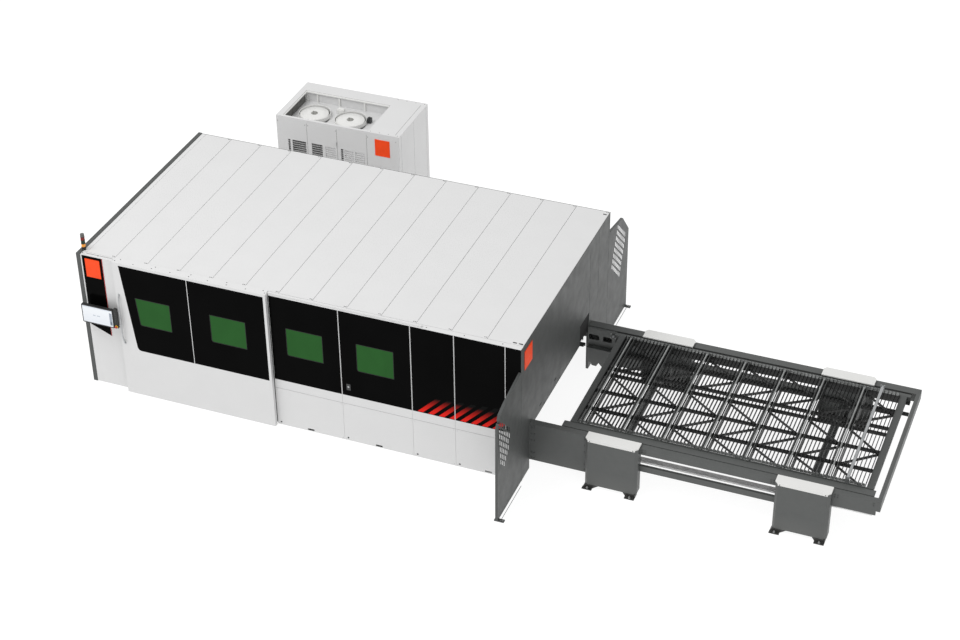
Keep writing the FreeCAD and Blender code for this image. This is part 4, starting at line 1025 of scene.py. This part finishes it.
def gasket(node, body, lip):
    """Rubber section around each pane of a node."""
    bm = bmesh.new()
    bm.from_mesh(NODES[node].data)
    bmesh.ops.remove_doubles(bm, verts=bm.verts, dist=1e-5)
    bm.normal_update()
    away = [f for f in bm.faces if f.normal.y > -0.9]
    bmesh.ops.delete(bm, geom=away, context="FACES")
    bmesh.ops.dissolve_limit(bm, angle_limit=0.01, verts=bm.verts, edges=bm.edges)
    inner = bm.faces[:]
    bmesh.ops.inset_individual(bm, faces=inner, thickness=0.009, use_even_offset=True)
    bmesh.ops.delete(bm, geom=inner, context="FACES")
    made = bmesh.ops.extrude_face_region(bm, geom=bm.faces[:])
    bmesh.ops.translate(bm, vec=(0, -lip, 0), verts=[
        g for g in made["geom"] if isinstance(g, bmesh.types.BMVert)])
    return to_object(node + "_gasket", bm, MATS["rubber"], body, (), 0.0006)


class MACHINE_OT_windows(MachinePiece):
    """Rubber sections around the safety windows"""
    bl_idname = "machine.windows"
    bl_label = "Windows"

    def make(self, s, c):
        gasket("front_pane", "machine", 0.003)
        gasket("service_pane", "service_door", 0.003)
        gasket("door_panes", "sliding_door", 0.003)


class MACHINE_OT_doors(MachinePiece):
    """Bow handle, flange screws and sweep of the sliding door, and the service latch"""
    bl_idname = "machine.doors"
    bl_label = "Doors"

    def make(self, s, c):
        lo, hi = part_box("door_handle")
        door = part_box("door_panel")
        x = 0.5 * (lo.x + hi.x)
        pts = []
        for k in range(25):
            f = k / 24.0
            reach = min(1.0, 1.15 * math.sin(math.pi * f) ** 0.45)
            pts.append((x, door[0].y + 0.002 - 0.058 * reach, 0.96 + 0.90 * f))
        bm = bmesh.new()
        sweep(bm, pts, 0.0115, 12)
        for z in (0.966, 1.854):
            lathe(bm, (x, door[0].y, z), [(0.021, 0.001), (0.021, -0.004), (0.018, -0.006)],
                  "y", 20)
        to_object("door_bow_handle", bm, MATS["steel"], "sliding_door",
                  ("door_handle",), smooth=True)

        z = door[1].z
        spots = row((door[0].x + 0.03, door[0].y + 0.05, z), (door[1].x - 0.03,
                    door[0].y + 0.05, z), 9, UP)
        spots += row((door[0].x + 0.10, door[0].y + 0.105, z), (door[1].x - 0.08,
                     door[0].y + 0.105, z), 5, UP)
        panel_screws("door_flange_screws", spots, "sliding_door", s.screw, Sides=8)
        bm = bmesh.new()
        block(bm, (door[0].x + 0.01, door[0].y + 0.012, 0.004),
              (door[1].x - 0.02, door[0].y + 0.022, 0.014))
        to_object("door_sweep", bm, MATS["rubber"], "sliding_door", (), 0.001)

        a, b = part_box("service_latch")
        m = 0.5 * (a + b)
        bm = bmesh.new()
        block(bm, (a.x, m.y + 0.002, a.z), (b.x, b.y, b.z))
        to_object("latch_plate", bm, MATS["key"], "service_door",
                  ("service_latch",), 0.0015)
        bm = bmesh.new()
        lathe(bm, (m.x, m.y + 0.002, m.z + 0.008), [(0.017, 0.0), (0.017, -0.004),
                                                    (0.014, -0.0065)], "y", 24)
        block(bm, (m.x - 0.004, a.y + 0.0005, m.z - 0.008),
              (m.x + 0.004, m.y - 0.003, m.z + 0.024))
        to_object("latch_turn", bm, MATS["steel"], "service_door", (), 0.0006)


class MACHINE_OT_operator_panel(MachinePiece):
    """Tilting operator panel: housing, bezel, keys and emergency stop"""
    bl_idname = "machine.operator_panel"
    bl_label = "Operator panel"

    def make(self, s, c):
        rounded_copy("hmi_case", 0.004, MATS["black"], "hmi", 3)
        rounded_copy("hmi_bracket", 0.003, MATS["black"], "machine")
        lo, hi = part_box("hmi_screen")
        bm = bmesh.new()
        e, d = 0.0075, 0.0015
        y0, y1 = lo.y - d, hi.y
        for a, b in (((lo.x - e, lo.z - e), (hi.x + e, lo.z)),
                     ((lo.x - e, hi.z), (hi.x + e, hi.z + e)),
                     ((lo.x - e, lo.z), (lo.x, hi.z)), ((hi.x, lo.z), (hi.x + e, hi.z))):
            block(bm, (a[0], y0, a[1]), (b[0], y1, b[1]))
        to_object("screen_bezel", bm, MATS["black"], "hmi", (), 0.001)

        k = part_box("hmi_keys")
        x = 0.5 * (k[0].x + k[1].x)
        y = k[1].y
        bm, yel = bmesh.new(), bmesh.new()
        for z in (1.345, 1.385):
            lathe(bm, (x, y, z), [(0.012, 0.0), (0.012, -0.004), (0.009, -0.006),
                                  (0.009, -0.0075), (0.006, -0.0085)], "y", 20)
        for z in (1.425, 1.465, 1.505, 1.545):
            block(bm, (x - 0.011, y - 0.0035, z - 0.012), (x + 0.011, y, z + 0.012))
        to_object("panel_keys", bm, MATS["key"], "hmi", ("hmi_keys",), 0.0012)
        z = 0.5 * sum(v.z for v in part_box("hmi_estop"))
        lathe(yel, (x, y, z), [(0.0095, 0.0), (0.0245, 0.0), (0.0245, -0.003),
                               (0.021, -0.005), (0.0095, -0.005)], "y", 28, ring=True)
        to_object("stop_collar", yel, MATS["yellow"], "hmi", smooth=False)
        a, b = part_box("hmi_estop")
        bm = bmesh.new()
        lathe(bm, (x, b.y, z), [(0.008, 0.0), (0.008, -0.010), (0.017, -0.0125),
                                (0.0195, -0.016), (0.0185, -0.0205), (0.013, -0.0235),
                                (0.004, -0.0245)], "y", 28)
        to_object("stop_button", bm, MATS["red"], "emergency_stop",
                  ("hmi_estop",), smooth=True)


class MACHINE_OT_signal_tower(MachinePiece):
    """Signal tower: ribbed lenses, rings, foot and cap"""
    bl_idname = "machine.signal_tower"
    bl_label = "Signal tower"

    def make(self, s, c):
        for name in ("red", "amber", "green"):
            lo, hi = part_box("tower_lens_" + name)
            m = 0.5 * (lo + hi)
            tree = lens_tree(MATS["lens_" + name])
            grow("lens_" + name, seeds([((m.x, m.y, lo.z), UP)]), tree, "machine",
                 "lens_" + name, ("tower_lens_" + name,), Radius=0.5 * (hi.x - lo.x),
                 Height=hi.z - lo.z, Ribs=s.lens_ribs)
        lo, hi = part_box("tower_body")
        m = 0.5 * (lo + hi)
        bm = bmesh.new()
        r = 0.5 * (hi.x - lo.x)
        lathe(bm, (m.x, m.y, lo.z), [(r, 0.0), (r, 0.006), (0.8 * r, 0.010),
                                     (0.75 * r, 0.020), (0.98 * r, 0.030), (r, 0.052)])
        for z in (0.104, 0.164, 0.224):
            lathe(bm, (m.x, m.y, lo.z + z), [(0.95 * r, 0.0), (r, 0.001), (r, 0.007),
                                             (0.95 * r, 0.008)])
        to_object("tower_rings", bm, MATS["black"], "machine",
                  ("tower_body",), smooth=False)
        bm = bmesh.new()
        top = hi.z
        lathe(bm, (m.x, m.y, lo.z + 0.232), [(0.94 * r, 0.0), (0.94 * r, 0.036),
                                             (0.85 * r, 0.043),
                                             (0.4 * r, top - lo.z - 0.232)])
        to_object("tower_cap", bm, MATS["grey"], "machine", smooth=False)


def pair_places(body):
    """Places of the paired cross plates of a pallet, from its frame's box."""
    lo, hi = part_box(body + "_frame")
    out = []
    for i in range(8):
        for d in (-0.05, 0.05):
            x = lo.x + 0.200 + i * 0.610 + d
            if x < hi.x - 0.130:
                out.append(x)
    return out


class MACHINE_OT_pallets(MachinePiece):
    """Toothed support slats, bright cross plates and slat combs on both pallets"""
    bl_idname = "machine.pallets"
    bl_label = "Pallets"

    def make(self, s, c):
        for body, mat in (("pallet_a", "slat"), ("pallet_b", "slat_b")):
            tree = slat_tree(MATS[mat])
            lo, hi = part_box(body + "_slats")
            frame_lo, frame_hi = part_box(body + "_frame")
            pairs = pair_places(body)
            pitch = 0.610 / 11
            x, spots = frame_lo.x + 0.115, []
            while x < frame_hi.x - 0.110:
                if min(abs(x - p) for p in pairs) > 0.012:
                    spots.append(((x, 0.5 * (lo.y + hi.y), 0.5 * (lo.z + hi.z)), UP))
                x += pitch
            grow(body + "_support_slats", seeds(spots), tree, body, "slat_steel",
                 (body + "_slats",), Length=hi.y - lo.y, Height=hi.z - lo.z,
                 Teeth=int(round((hi.y - lo.y) / s.tooth_pitch)), Tooth_depth=s.tooth_depth,
                 Thickness=0.003)
            bm = bmesh.new()
            z0, z1 = frame_lo.z + 0.157, hi.z
            rail = frame_lo.z + 0.135
            for p, q in zip(pairs[::2], pairs[1::2]):
                m = 0.5 * (p + q)
                block(bm, (m - 0.011, lo.y, z1 - 0.020), (m + 0.011, hi.y, z1 - 0.0165))
                for x in (p, q):
                    block(bm, (x - 0.009, frame_lo.y + 0.001, rail + 0.0002),
                          (x + 0.009, frame_lo.y + 0.085, rail + 0.014))
            to_object(body + "_cross_strips", bm, MATS["plate"], body, (),
                      0.001)
            comb = bmesh.new()
            for y0, y1 in ((lo.y - 0.002, lo.y + 0.006), (hi.y - 0.006, hi.y + 0.002)):
                for k in range(len(spots) - 1):
                    a, b = spots[k][0][0] + 0.004, spots[k + 1][0][0] - 0.004
                    if b - a < 0.08:
                        m = 0.5 * (a + b)
                        tooth = ((a, z0 - 0.02), (b, z0 - 0.02), (b, z0 + 0.016),
                                 (m, z0 + 0.030), (a, z0 + 0.016))
                        plate(comb, [(px, y0, pz) for px, pz in tooth],
                              [(px, y1, pz) for px, pz in tooth])
            to_object(body + "_combs", comb, MATS["plate"], body)
            rail = []
            for y, aim in ((frame_lo.y, FRONT), (frame_hi.y, BACK)):
                rail += row((frame_lo.x + 0.06, y, frame_lo.z + 0.10),
                            (frame_hi.x - 0.06, y, frame_lo.z + 0.10), 16, aim)
            screws(body + "_rail_bolts", rail, body, "steel_bare", "bolts",
                   Head_radius=0.006, Head_height=0.0012, Washer_radius=0.008,
                   Washer_height=0.0008)


class MACHINE_OT_table(MachinePiece):
    """Columns, covers, anchors, beams and drive of the shuttle table"""
    bl_idname = "machine.table"
    bl_label = "Shuttle table"

    def make(self, s, c):
        rounded_copy("lift_columns", 0.004, MATS["table"], "machine")
        rounded_copy("column_caps", 0.004, MATS["cap"], "machine", 3)
        rounded_copy("column_feet", 0.002, MATS["feet"], "machine")
        spots = []
        for m in frame["record"]["mounts"]:
            if m["kind"] == "bolt_pattern":
                x, y, z = m["pos_m"]
                half = m["dims"]["spacing_x_mm"] / 2000.0
                spots += [((x - half, y, z), UP), ((x + half, y, z), UP)]
        screws("anchor_bolts", spots, "machine", "steel_bare", "bolts",
               Head_radius=s.bolt, Head_height=0.013, Washer_radius=0.022,
               Washer_height=0.003, Taper=0.95, Stud_height=0.014)

        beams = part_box("table_beams")
        spots = []
        for cx in (8150, 10980):
            for y in (228, 3187):
                aim = FRONT if y < 1000 else BACK
                spots += [(at(cx + 70, y - 6 if y < 1000 else y + 6, 866), aim),
                          (at(cx + 730, y - 6 if y < 1000 else y + 6, 866), aim)]
        screws("cover_screws", spots, "machine", "cap_light", Head_radius=s.screw,
               Head_height=0.003, Washer_radius=s.screw * 1.2, Washer_height=0.001)
        spots = []
        y0, y1 = beams[0].y, beams[1].y
        for x in (7290, 7330, 8110, 8990, 9030, 10900, 10940, 11820, 11860, 12370):
            for z in (790, 830):
                spots += [((at(x, 0, 0).x, y0, z / 1000.0), FRONT),
                          ((at(x, 0, 0).x, y1, z / 1000.0), BACK)]
        for x in (7290, 7330, 8110):
            for z in (230, 330, 560, 680):
                spots += [((at(x, 0, 0).x, y0, z / 1000.0), FRONT),
                          ((at(x, 0, 0).x, y1, z / 1000.0), BACK)]
        screws("beam_bolts", spots, "machine", "table_dark", "painted", Head_radius=0.009,
               Head_height=0.006, Washer_radius=0.013, Washer_height=0.002, Taper=0.95)

        bm = bmesh.new()
        for a, b in ((7722, 8146), (8954, 10976), (11784, 12345)):
            block(bm, at(a, 2984, 845), at(b, 3034.5, 849))
        to_object("rear_wipers", bm, MATS["rubber"], "machine", (), 0.0008)
        flaps = [(at(7230, y, 1104), UP) for y in (2625, 3005)]
        grow("passage_curtain", seeds(flaps, True), curtain_tree(MATS["rubber"]), "machine",
             "foot_black", Strip_width=0.040, Length=0.36, Spread=0.05, Thickness=0.003)

        # stub shaft, sprocket and bearing of the pallet drive
        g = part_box("drive_guard")
        x, y, z = g[0].x + 0.423, g[0].y, 0.782
        bm = bmesh.new()
        lathe(bm, (x, y + 0.016, z), [(0.019, 0.0), (0.019, -0.012), (0.012, -0.016),
                                      (0.012, -0.020)], "y", 20)
        to_object("drive_shaft", bm, MATS["wheel"], "machine", smooth=False)
        spots = [((x + 0.052 * math.cos(a), y + 0.016, z + 0.052 * math.sin(a)), FRONT)
                 for a in (math.pi / 4 + k * math.pi / 2 for k in range(4))]
        screws("drive_screws", spots, "machine", "steel_bare", "bolts", Head_radius=0.006,
               Head_height=0.004, Washer_radius=0.008, Washer_height=0.001)


class MACHINE_OT_cabinet(MachinePiece):
    """Fans, louvres, posts, fittings, hinges and seams of the supply cabinet"""
    bl_idname = "machine.cabinet"
    bl_label = "Supply cabinet"

    def make(self, s, c):
        lo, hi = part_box("cabinet_case")
        for name in ("fan_left", "fan_right"):
            a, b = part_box(name)
            m = 0.5 * (a + b)
            r = 0.5 * (b.x - a.x)
            bm = bmesh.new()
            lathe(bm, (m.x, m.y, a.z), [
                (0.060, 0.0), (0.062, 0.038), (r - 0.02, 0.038), (r - 0.001, 0.040),
                (r, 0.042), (r - 0.002, 0.044), (0.12, 0.050), (0.066, 0.053)], "z", 48)
            to_object(name + "_disc", bm, MATS["cap"], name + "_rotor",
                      (name,), smooth=True)
            bm = bmesh.new()
            for k in range(7):
                t = 2 * math.pi * k / 7
                blade = ((0.075, 0.0), (0.15, -0.25), (r - 0.012, -0.62),
                         (r - 0.012, -0.635), (0.15, -0.27), (0.075, -0.035))
                plate(bm, *[[(m.x + rr * math.cos(t + dt), m.y + rr * math.sin(t + dt), z)
                             for rr, dt in blade] for z in (a.z + 0.002, a.z + 0.036)])
            to_object(name + "_blades", bm, MATS["zinc"], name + "_rotor")
            bm = bmesh.new()
            lathe(bm, (m.x, m.y, a.z + 0.050), [(0.058, 0.0), (0.058, 0.008), (0.052, 0.012),
                                                (0.02, 0.013)], "z", 32)
            for k in range(3):
                t = 0.4 + 2 * math.pi * k / 3
                lathe(bm, (m.x + 0.036 * math.cos(t), m.y + 0.036 * math.sin(t),
                           a.z + 0.060), [(0.011, 0.0), (0.011, 0.012), (0.008, 0.018)],
                      "z", 12)
            to_object(name + "_motor", bm, MATS["hub"], name + "_rotor")
            # painted shadow: a black disc under each fan, offset to the operator's right, shows
            # past the fan disc as a dark crescent of shadow
            bm = bmesh.new()
            lathe(bm, (m.x + 0.040, m.y - 0.050, a.z - 0.006), [(r, 0.0), (r, 0.003)],
                  "z", 48)
            to_object(name + "_painted_shadow", bm, MATS["black"], "machine")

        # louvre banks in the front
        q = [lo.x + (hi.x - lo.x) * f for f in (0.0, 0.25, 0.495, 0.738, 1.0)]
        banks = (((0.36, 0.43, "louvre"), (0.50, 0.95, "louvre")),
                 ((0.14, 0.50, "louvre"), (0.60, 0.95, "light")),
                 ((0.12, 0.20, "louvre"), (0.24, 0.54, "light"), (0.60, 0.92, "light")))
        foot, pitch, rows = hi.z - 0.845, 0.042, 10
        for i, fields in enumerate(banks):
            body = "cabinet_hatch" if i == 2 else "machine"
            edges = [(q[i] + f0 * (q[i + 1] - q[i]), q[i] + f1 * (q[i + 1] - q[i]), key)
                     for f0, f1, key in fields]
            for key in ("louvre", "light"):
                spans = [(a, b) for a, b, k in edges if k == key]
                if not spans:
                    continue
                name = "cabinet_louvres_%d_%s" % (i + 1, "dark" if key == "louvre" else key)
                tops = [((0.5 * (a + b), lo.y + 0.012, foot + (rows - 1) * pitch + 0.012), FRONT)
                        for a, b in spans]
                widest = max(b - a for a, b in spans)
                grow(name, seeds(tops), louvre_tree(MATS[key]), body, "galvanised",
                     Width=widest - 0.004, Blades=rows, Pitch=s.louvre_pitch, Depth=0.020,
                     Thickness=0.0016, Tilt=0.75)
                bm = bmesh.new()
                for a, b in spans:
                    y = lo.y + (0.026 if key == "louvre" else 0.020)
                    block(bm, (a - 0.01, y, foot - 0.02), (b + 0.01, y + 0.003,
                                                           foot + rows * pitch))
                    # painted shade: on dark banks, flat dark strips on the front face at each
                    # blade row paint the shade in the slots
                    if key == "louvre":
                        for k in range(rows):
                            z = foot + 0.022 + k * pitch
                            block(bm, (a, lo.y - 0.001, z + 0.002), (b, lo.y + 0.0005,
                                                                     z + 0.015))
                to_object(name + "_back", bm, MATS["filter" if key == "louvre" else key],
                          body, (),
                          0.0004)
            bm = bmesh.new()
            for before, after in zip(edges, edges[1:]):
                block(bm, (before[1], lo.y - 0.0012, foot - 0.006),
                      (after[0], lo.y + 0.0015, foot + rows * pitch - 0.014))
            to_object("cabinet_louvre_posts_%d" % (i + 1), bm, MATS["light"], body,
                      (), 0.0005)

        # posts, rim channel and coil fins in the fan well
        deck = hi.z - 0.2
        w0, w1 = lo.x + 0.110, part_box("fan_right")[1].x + 0.28
        bm = bmesh.new()
        y1 = hi.y - 0.275
        for x in (w0 + 0.006, w0 + 0.20, w0 + 0.62, w0 + 1.10):
            block(bm, (x, y1 - 0.022, deck), (x + 0.03, y1 - 0.001, hi.z - 0.03))
        block(bm, (w0 + 0.001, y1 - 0.030, hi.z - 0.030), (w1, y1 - 0.001, hi.z - 0.012))
        block(bm, (w0 + 0.001, lo.y + 0.054, hi.z - 0.030),
              (w0 + 0.022, y1 - 0.032, hi.z - 0.012))
        to_object("well_posts", bm, MATS["cap"], "machine", (), 0.001)
        bm = bmesh.new()
        for k in range(16):
            y = lo.y + 0.075 + k * 0.054
            block(bm, (w0 + 0.0005, y, deck + 0.012), (w0 + 0.009, y + 0.040, hi.z - 0.034))
        for k in range(3):
            x = q[k + 1]
            block(bm, (x - 0.0026, lo.y - 0.0004, 0.09), (x + 0.0026, lo.y + 0.0019,
                                                          hi.z - 0.062))
        block(bm, (hi.x - 0.092, lo.y + 0.06, hi.z - 0.001),
              (hi.x - 0.087, hi.y - 0.10, hi.z + 0.0004))
        to_object("well_coil_and_seams", bm, MATS["grey"], "machine")
        # junction box and white duct stub behind the fans
        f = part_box("fan_right")
        bm = bmesh.new()
        block(bm, (f[1].x + 0.020, f[1].y - 0.170, deck), (f[1].x + 0.090, f[1].y - 0.090,
                                                           deck + 0.090))
        lathe(bm, (f[1].x + 0.055, f[1].y - 0.130, deck + 0.088),
              [(0.022, 0.0), (0.022, 0.016), (0.016, 0.020)], "z", 16)
        to_object("well_junction", bm, MATS["key"], "machine", (), 0.003)
        bm = bmesh.new()
        block(bm, (f[0].x - 0.110, f[1].y - 0.030, deck), (f[0].x + 0.020, f[1].y + 0.060,
                                                           deck + 0.070))
        block(bm, (f[0].x - 0.100, f[1].y - 0.020, deck + 0.070),
              (f[0].x + 0.010, f[1].y + 0.050, deck + 0.082))
        to_object("well_cover", bm, MATS["cap"], "machine", (), 0.004)

        # seams down the right side, hinges and corner screws
        bm = bmesh.new()
        for f in (0.08, 0.50, 0.93):
            y = lo.y + f * (hi.y - lo.y)
            block(bm, (hi.x - 0.001, y - 0.0012, 0.09), (hi.x + 0.0004, y + 0.0012,
                                                         hi.z - 0.02))
        to_object("cabinet_seams", bm, MATS["rubber"], "machine")
        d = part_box("cabinet_door")
        bm = bmesh.new()
        for z in (0.35, 1.10, 1.85):
            lathe(bm, (d[0].x - 0.010, lo.y - 0.006, z), [(0.006, 0.0), (0.007, 0.002),
                  (0.007, 0.078), (0.006, 0.080)], "z", 14)
        to_object("cabinet_hinges", bm, MATS["zinc_bolt"], "machine")
        spots = []
        for x in (q[0], q[1], q[3]):
            w = q[1] - q[0]
            for z in (0.13, 1.1, hi.z - 0.1):
                spots += [((x + 0.025, lo.y, z), FRONT), ((x + w - 0.03, lo.y, z), FRONT)]
        for z in (0.15, 1.1, hi.z - 0.1):
            spots += row((lo.x + 0.05, hi.y, z), (hi.x - 0.05, hi.y, z), 7, BACK)
        spots += row((w1 + 0.06, lo.y + 0.04, hi.z), (hi.x - 0.04, lo.y + 0.04, hi.z), 4, UP)
        spots += row((w1 + 0.06, hi.y - 0.04, hi.z), (hi.x - 0.04, hi.y - 0.04, hi.z), 4, UP)
        screws("cabinet_screws", spots, "machine", "steel_bare", Head_radius=s.screw * 0.8,
               Head_height=0.0025, Washer_radius=s.screw, Washer_height=0.0006)


class MACHINE_OT_back(MachinePiece):
    """Louvre blades, black screens, screws and pulls of the back panels, and the extraction flange
    """
    bl_idname = "machine.back"
    bl_label = "Back"

    def make(self, s, c):
        lo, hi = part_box("back_panels")
        n = 6
        pitch = (hi.x - lo.x + 0.003) / n
        spots, banks, bm = [], [], bmesh.new()
        for k in range(n):
            a, b = lo.x + k * pitch, lo.x + (k + 1) * pitch - 0.003
            banks.append(((0.5 * (a + b), hi.y - 0.010, hi.z - 0.494 + 5 * 0.05 + 0.009),
                          BACK))
            for z in (0.06, 0.6, 1.2, 1.8, hi.z - 0.05):
                spots += [((a + 0.03, hi.y, z), BACK), ((b - 0.03, hi.y, z), BACK)]
            block(bm, (a + 0.16, hi.y - 0.029, hi.z - 0.53), (b - 0.16, hi.y - 0.026,
                                                               hi.z - 0.20))
        grow("back_louvres", seeds(banks), louvre_tree(MATS["light"]), "machine",
             "panel_white", Width=pitch - 0.368, Blades=6, Pitch=0.05, Depth=0.016,
             Thickness=0.0015, Tilt=-0.7)
        to_object("back_screens", bm, MATS["black"], "machine", (), 0.001)
        screws("back_screws", spots, "machine", "steel_bare", Head_radius=s.screw,
               Head_height=0.003, Washer_radius=s.screw * 1.3, Washer_height=0.001)
        bm = bmesh.new()
        for k in range(n):
            a, b = lo.x + k * pitch, lo.x + (k + 1) * pitch - 0.003
            for x in (a + 0.12, b - 0.12):
                pts = []
                for j in range(13):
                    f = j / 12.0
                    pts.append((x, hi.y - 0.001 + 0.038 * min(1.0, 1.6 * math.sin(
                        math.pi * f) ** 0.5), 1.0 + 0.16 * f))
                sweep(bm, pts, 0.006, 8)
        to_object("back_pulls", bm, MATS["screw"], "machine", smooth=True)
        port = [m for m in frame["record"]["mounts"] if m["name"] == "extraction_port"][0]
        x, z = port["pos_m"][0], port["pos_m"][2]
        r = port["dims"]["r_mm"] / 1000.0
        bm = bmesh.new()
        lathe(bm, (x, hi.y, z), [(r + 0.0052, 0.0), (r + 0.045, 0.0), (r + 0.045, 0.004),
                                 (r + 0.012, 0.006), (r + 0.0052, 0.012)], "y", 48, ring=True)
        to_object("port_flange", bm, MATS["zinc"], "machine", smooth=False)
        spots = [((x + (r + 0.032) * math.cos(t), hi.y + 0.0045, z + (r + 0.032)
                   * math.sin(t)), BACK) for t in (2 * math.pi * k / 8 for k in range(8))]
        screws("port_screws", spots, "machine", "steel_bare", "bolts", Head_radius=0.005,
               Head_height=0.003, Washer_radius=0.007, Washer_height=0.001)


class MACHINE_OT_inside(MachinePiece):
    """Gantry fittings, head details, energy chains and rail bolts"""
    bl_idname = "machine.inside"
    bl_label = "Cutting gantry"

    def make(self, s, c):
        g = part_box("gantry_beam")
        tree = chain_tree(MATS["black"])
        x = g[0].x + 0.090
        z = g[1].z - 0.030
        path = [((x, g[0].y + 0.12 + 0.05 * k, z), UP) for k in range(50)]
        path = [p for p in path if p[0][1] < g[1].y - 0.12]
        grow("gantry_chain", seeds(path, True), tree, "gantry", "case_black",
             Pitch=s.chain_pitch, Width=0.070, Height=0.045)
        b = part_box("machine_bed")
        y = b[1].y + 0.075
        path = [((b[0].x + 0.25 + 0.1 * k, y, 0.045), UP) for k in range(58)]
        grow("bed_chain", seeds(path, True), tree, "machine", "case_black",
             Pitch=s.chain_pitch, Width=0.100, Height=0.060)
        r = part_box("x_rails")
        spots = []
        for yy in (r[0].y + 0.020, r[1].y - 0.045):
            spots += row((r[0].x + 0.05, yy, 1.030), (r[1].x - 0.05, yy, 1.030), 64, UP)
        screws("rail_bolts", spots, "machine", "steel_bare",
               Head_radius=0.006, Head_height=0.0003, Washer_radius=0.0075,
               Washer_height=0.0002)
        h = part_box("cutting_head")
        m = 0.5 * (h[0] + h[1])
        cx = h[1].x - 0.040
        bm = bmesh.new()
        for z0, rr in ((1.21, 0.030), (1.33, 0.030)):
            lathe(bm, (h[1].x, m.y, z0), [(rr, 0.0), (rr, 0.004), (rr * 0.8, 0.006),
                                          (rr * 0.3, 0.007)], "x", 28)
        to_object("head_windows", bm, MATS["facing"], "head")
        bm = bmesh.new()
        lathe(bm, (cx, m.y, h[1].z), [(0.022, 0.0), (0.022, 0.012), (0.015, 0.018),
                                      (0.015, 0.034), (0.011, 0.040)], "z", 24)
        to_object("head_connector", bm, MATS["wheel"], "head")
        bm = bmesh.new()
        lathe(bm, (cx, m.y, h[0].z + 0.041), [(0.0285, 0.0), (0.0315, 0.002), (0.0315, 0.016),
                                              (0.0285, 0.018)], "z", 28)
        to_object("nozzle_ring", bm, MATS["bar"], "head")
        spots = []
        for yy in (m.y - 0.036, m.y + 0.036):
            spots += row((h[1].x, yy, h[1].z - 0.30), (h[1].x, yy, h[1].z - 0.02), 3, RIGHT)
        screws("head_screws", spots, "head", "steel_bare", Head_radius=0.004,
               Head_height=0.003, Washer_radius=0.005, Washer_height=0.0005)


class MACHINE_OT_stage(MachinePiece):
    """Pale floor, soft studio light and the camera"""
    bl_idname = "machine.stage"
    bl_label = "Stage"

    def make(self, s, c):
        bm = bmesh.new()
        for x, y in ((-90, -90), (90, -90), (90, 90), (-90, 90)):
            bm.verts.new((x, y, -0.0005))
        bm.faces.new(bm.verts)
        mesh = bpy.data.meshes.new("floor")
        bm.to_mesh(mesh)
        bm.free()
        mesh.materials.append(studio_floor("Studio floor"))
        floor = bpy.data.objects.new("floor", mesh)
        bpy.context.scene.collection.objects.link(floor)

        scene = bpy.context.scene
        world = bpy.data.worlds.new("studio")
        scene.world = world
        world.use_nodes = True
        back = world.node_tree.nodes["Background"]
        back.inputs[0].default_value = (1.0, 1.0, 1.0, 1.0)
        back.inputs[1].default_value = 0.83
        scene.view_settings.view_transform = "Standard"
        scene.view_settings.look = "None"

        def soft(name, at_, to, power, size):
            light = bpy.data.lights.new(name, "AREA")
            light.energy, light.size = power, size
            obj = bpy.data.objects.new(name, light)
            obj.location = at_
            obj.rotation_euler = (Vector(to) - Vector(at_)).to_track_quat("-Z", "Y").to_euler()
            scene.collection.objects.link(obj)
        soft("key", (-10, -10, 23), (0, 0, 0), 2750, 11)
        soft("fill", (16, -12, 12), (2, 0, 0.5), 150, 10)

        az, el, roll = math.radians(21.852), math.radians(34.560), math.radians(-0.7288)
        fwd = Vector((-math.sin(az) * math.cos(el), math.cos(az) * math.cos(el),
                      -math.sin(el)))
        right = fwd.cross(Vector((0, 0, 1))).normalized()
        up = right.cross(fwd)
        r = right * math.cos(roll) + up * math.sin(roll)
        u = up * math.cos(roll) - right * math.sin(roll)
        cam = bpy.data.cameras.new("camera")
        cam.lens, cam.sensor_width, cam.sensor_fit = 76.90, 36.0, "HORIZONTAL"
        cam.clip_end = 300
        obj = bpy.data.objects.new("camera", cam)
        m = Matrix((r, u, -fwd)).transposed().to_4x4()
        m.translation = Vector((9.279, -24.9345, 19.2210))
        obj.matrix_world = m
        scene.collection.objects.link(obj)
        scene.camera = obj


class MACHINE_PT_panel(bpy.types.Panel):
    bl_label = "Laser cutting machine"
    bl_idname = "MACHINE_PT_panel"
    bl_space_type = "VIEW_3D"
    bl_region_type = "UI"
    bl_category = "Machine"

    def draw(self, context):
        col = self.layout.column()
        for group in (context.scene.machine_sizes, context.scene.machine_colours):
            for key in group.__annotations__:
                col.prop(group, key)
        for op in OPERATORS:
            col.operator(op.bl_idname)


OPERATORS = (MACHINE_OT_finishes, MACHINE_OT_roof, MACHINE_OT_cabin, MACHINE_OT_windows,
             MACHINE_OT_doors, MACHINE_OT_operator_panel, MACHINE_OT_signal_tower,
             MACHINE_OT_pallets, MACHINE_OT_table, MACHINE_OT_cabinet, MACHINE_OT_back,
             MACHINE_OT_inside, MACHINE_OT_stage)
CLASSES = (MachineColours, MachineSizes) + OPERATORS + (MACHINE_PT_panel,)


def register():
    for cls in CLASSES:
        bpy.utils.register_class(cls)
    bpy.types.Scene.machine_colours = PointerProperty(type=MachineColours)
    bpy.types.Scene.machine_sizes = PointerProperty(type=MachineSizes)


def unregister():
    del bpy.types.Scene.machine_sizes
    del bpy.types.Scene.machine_colours
    for cls in reversed(CLASSES):
        bpy.utils.unregister_class(cls)


def main():
    register()
    for op in OPERATORS:
        group, name = op.bl_idname.split(".")
        getattr(getattr(bpy.ops, group), name)()


if __name__ == "__main__":
    main()
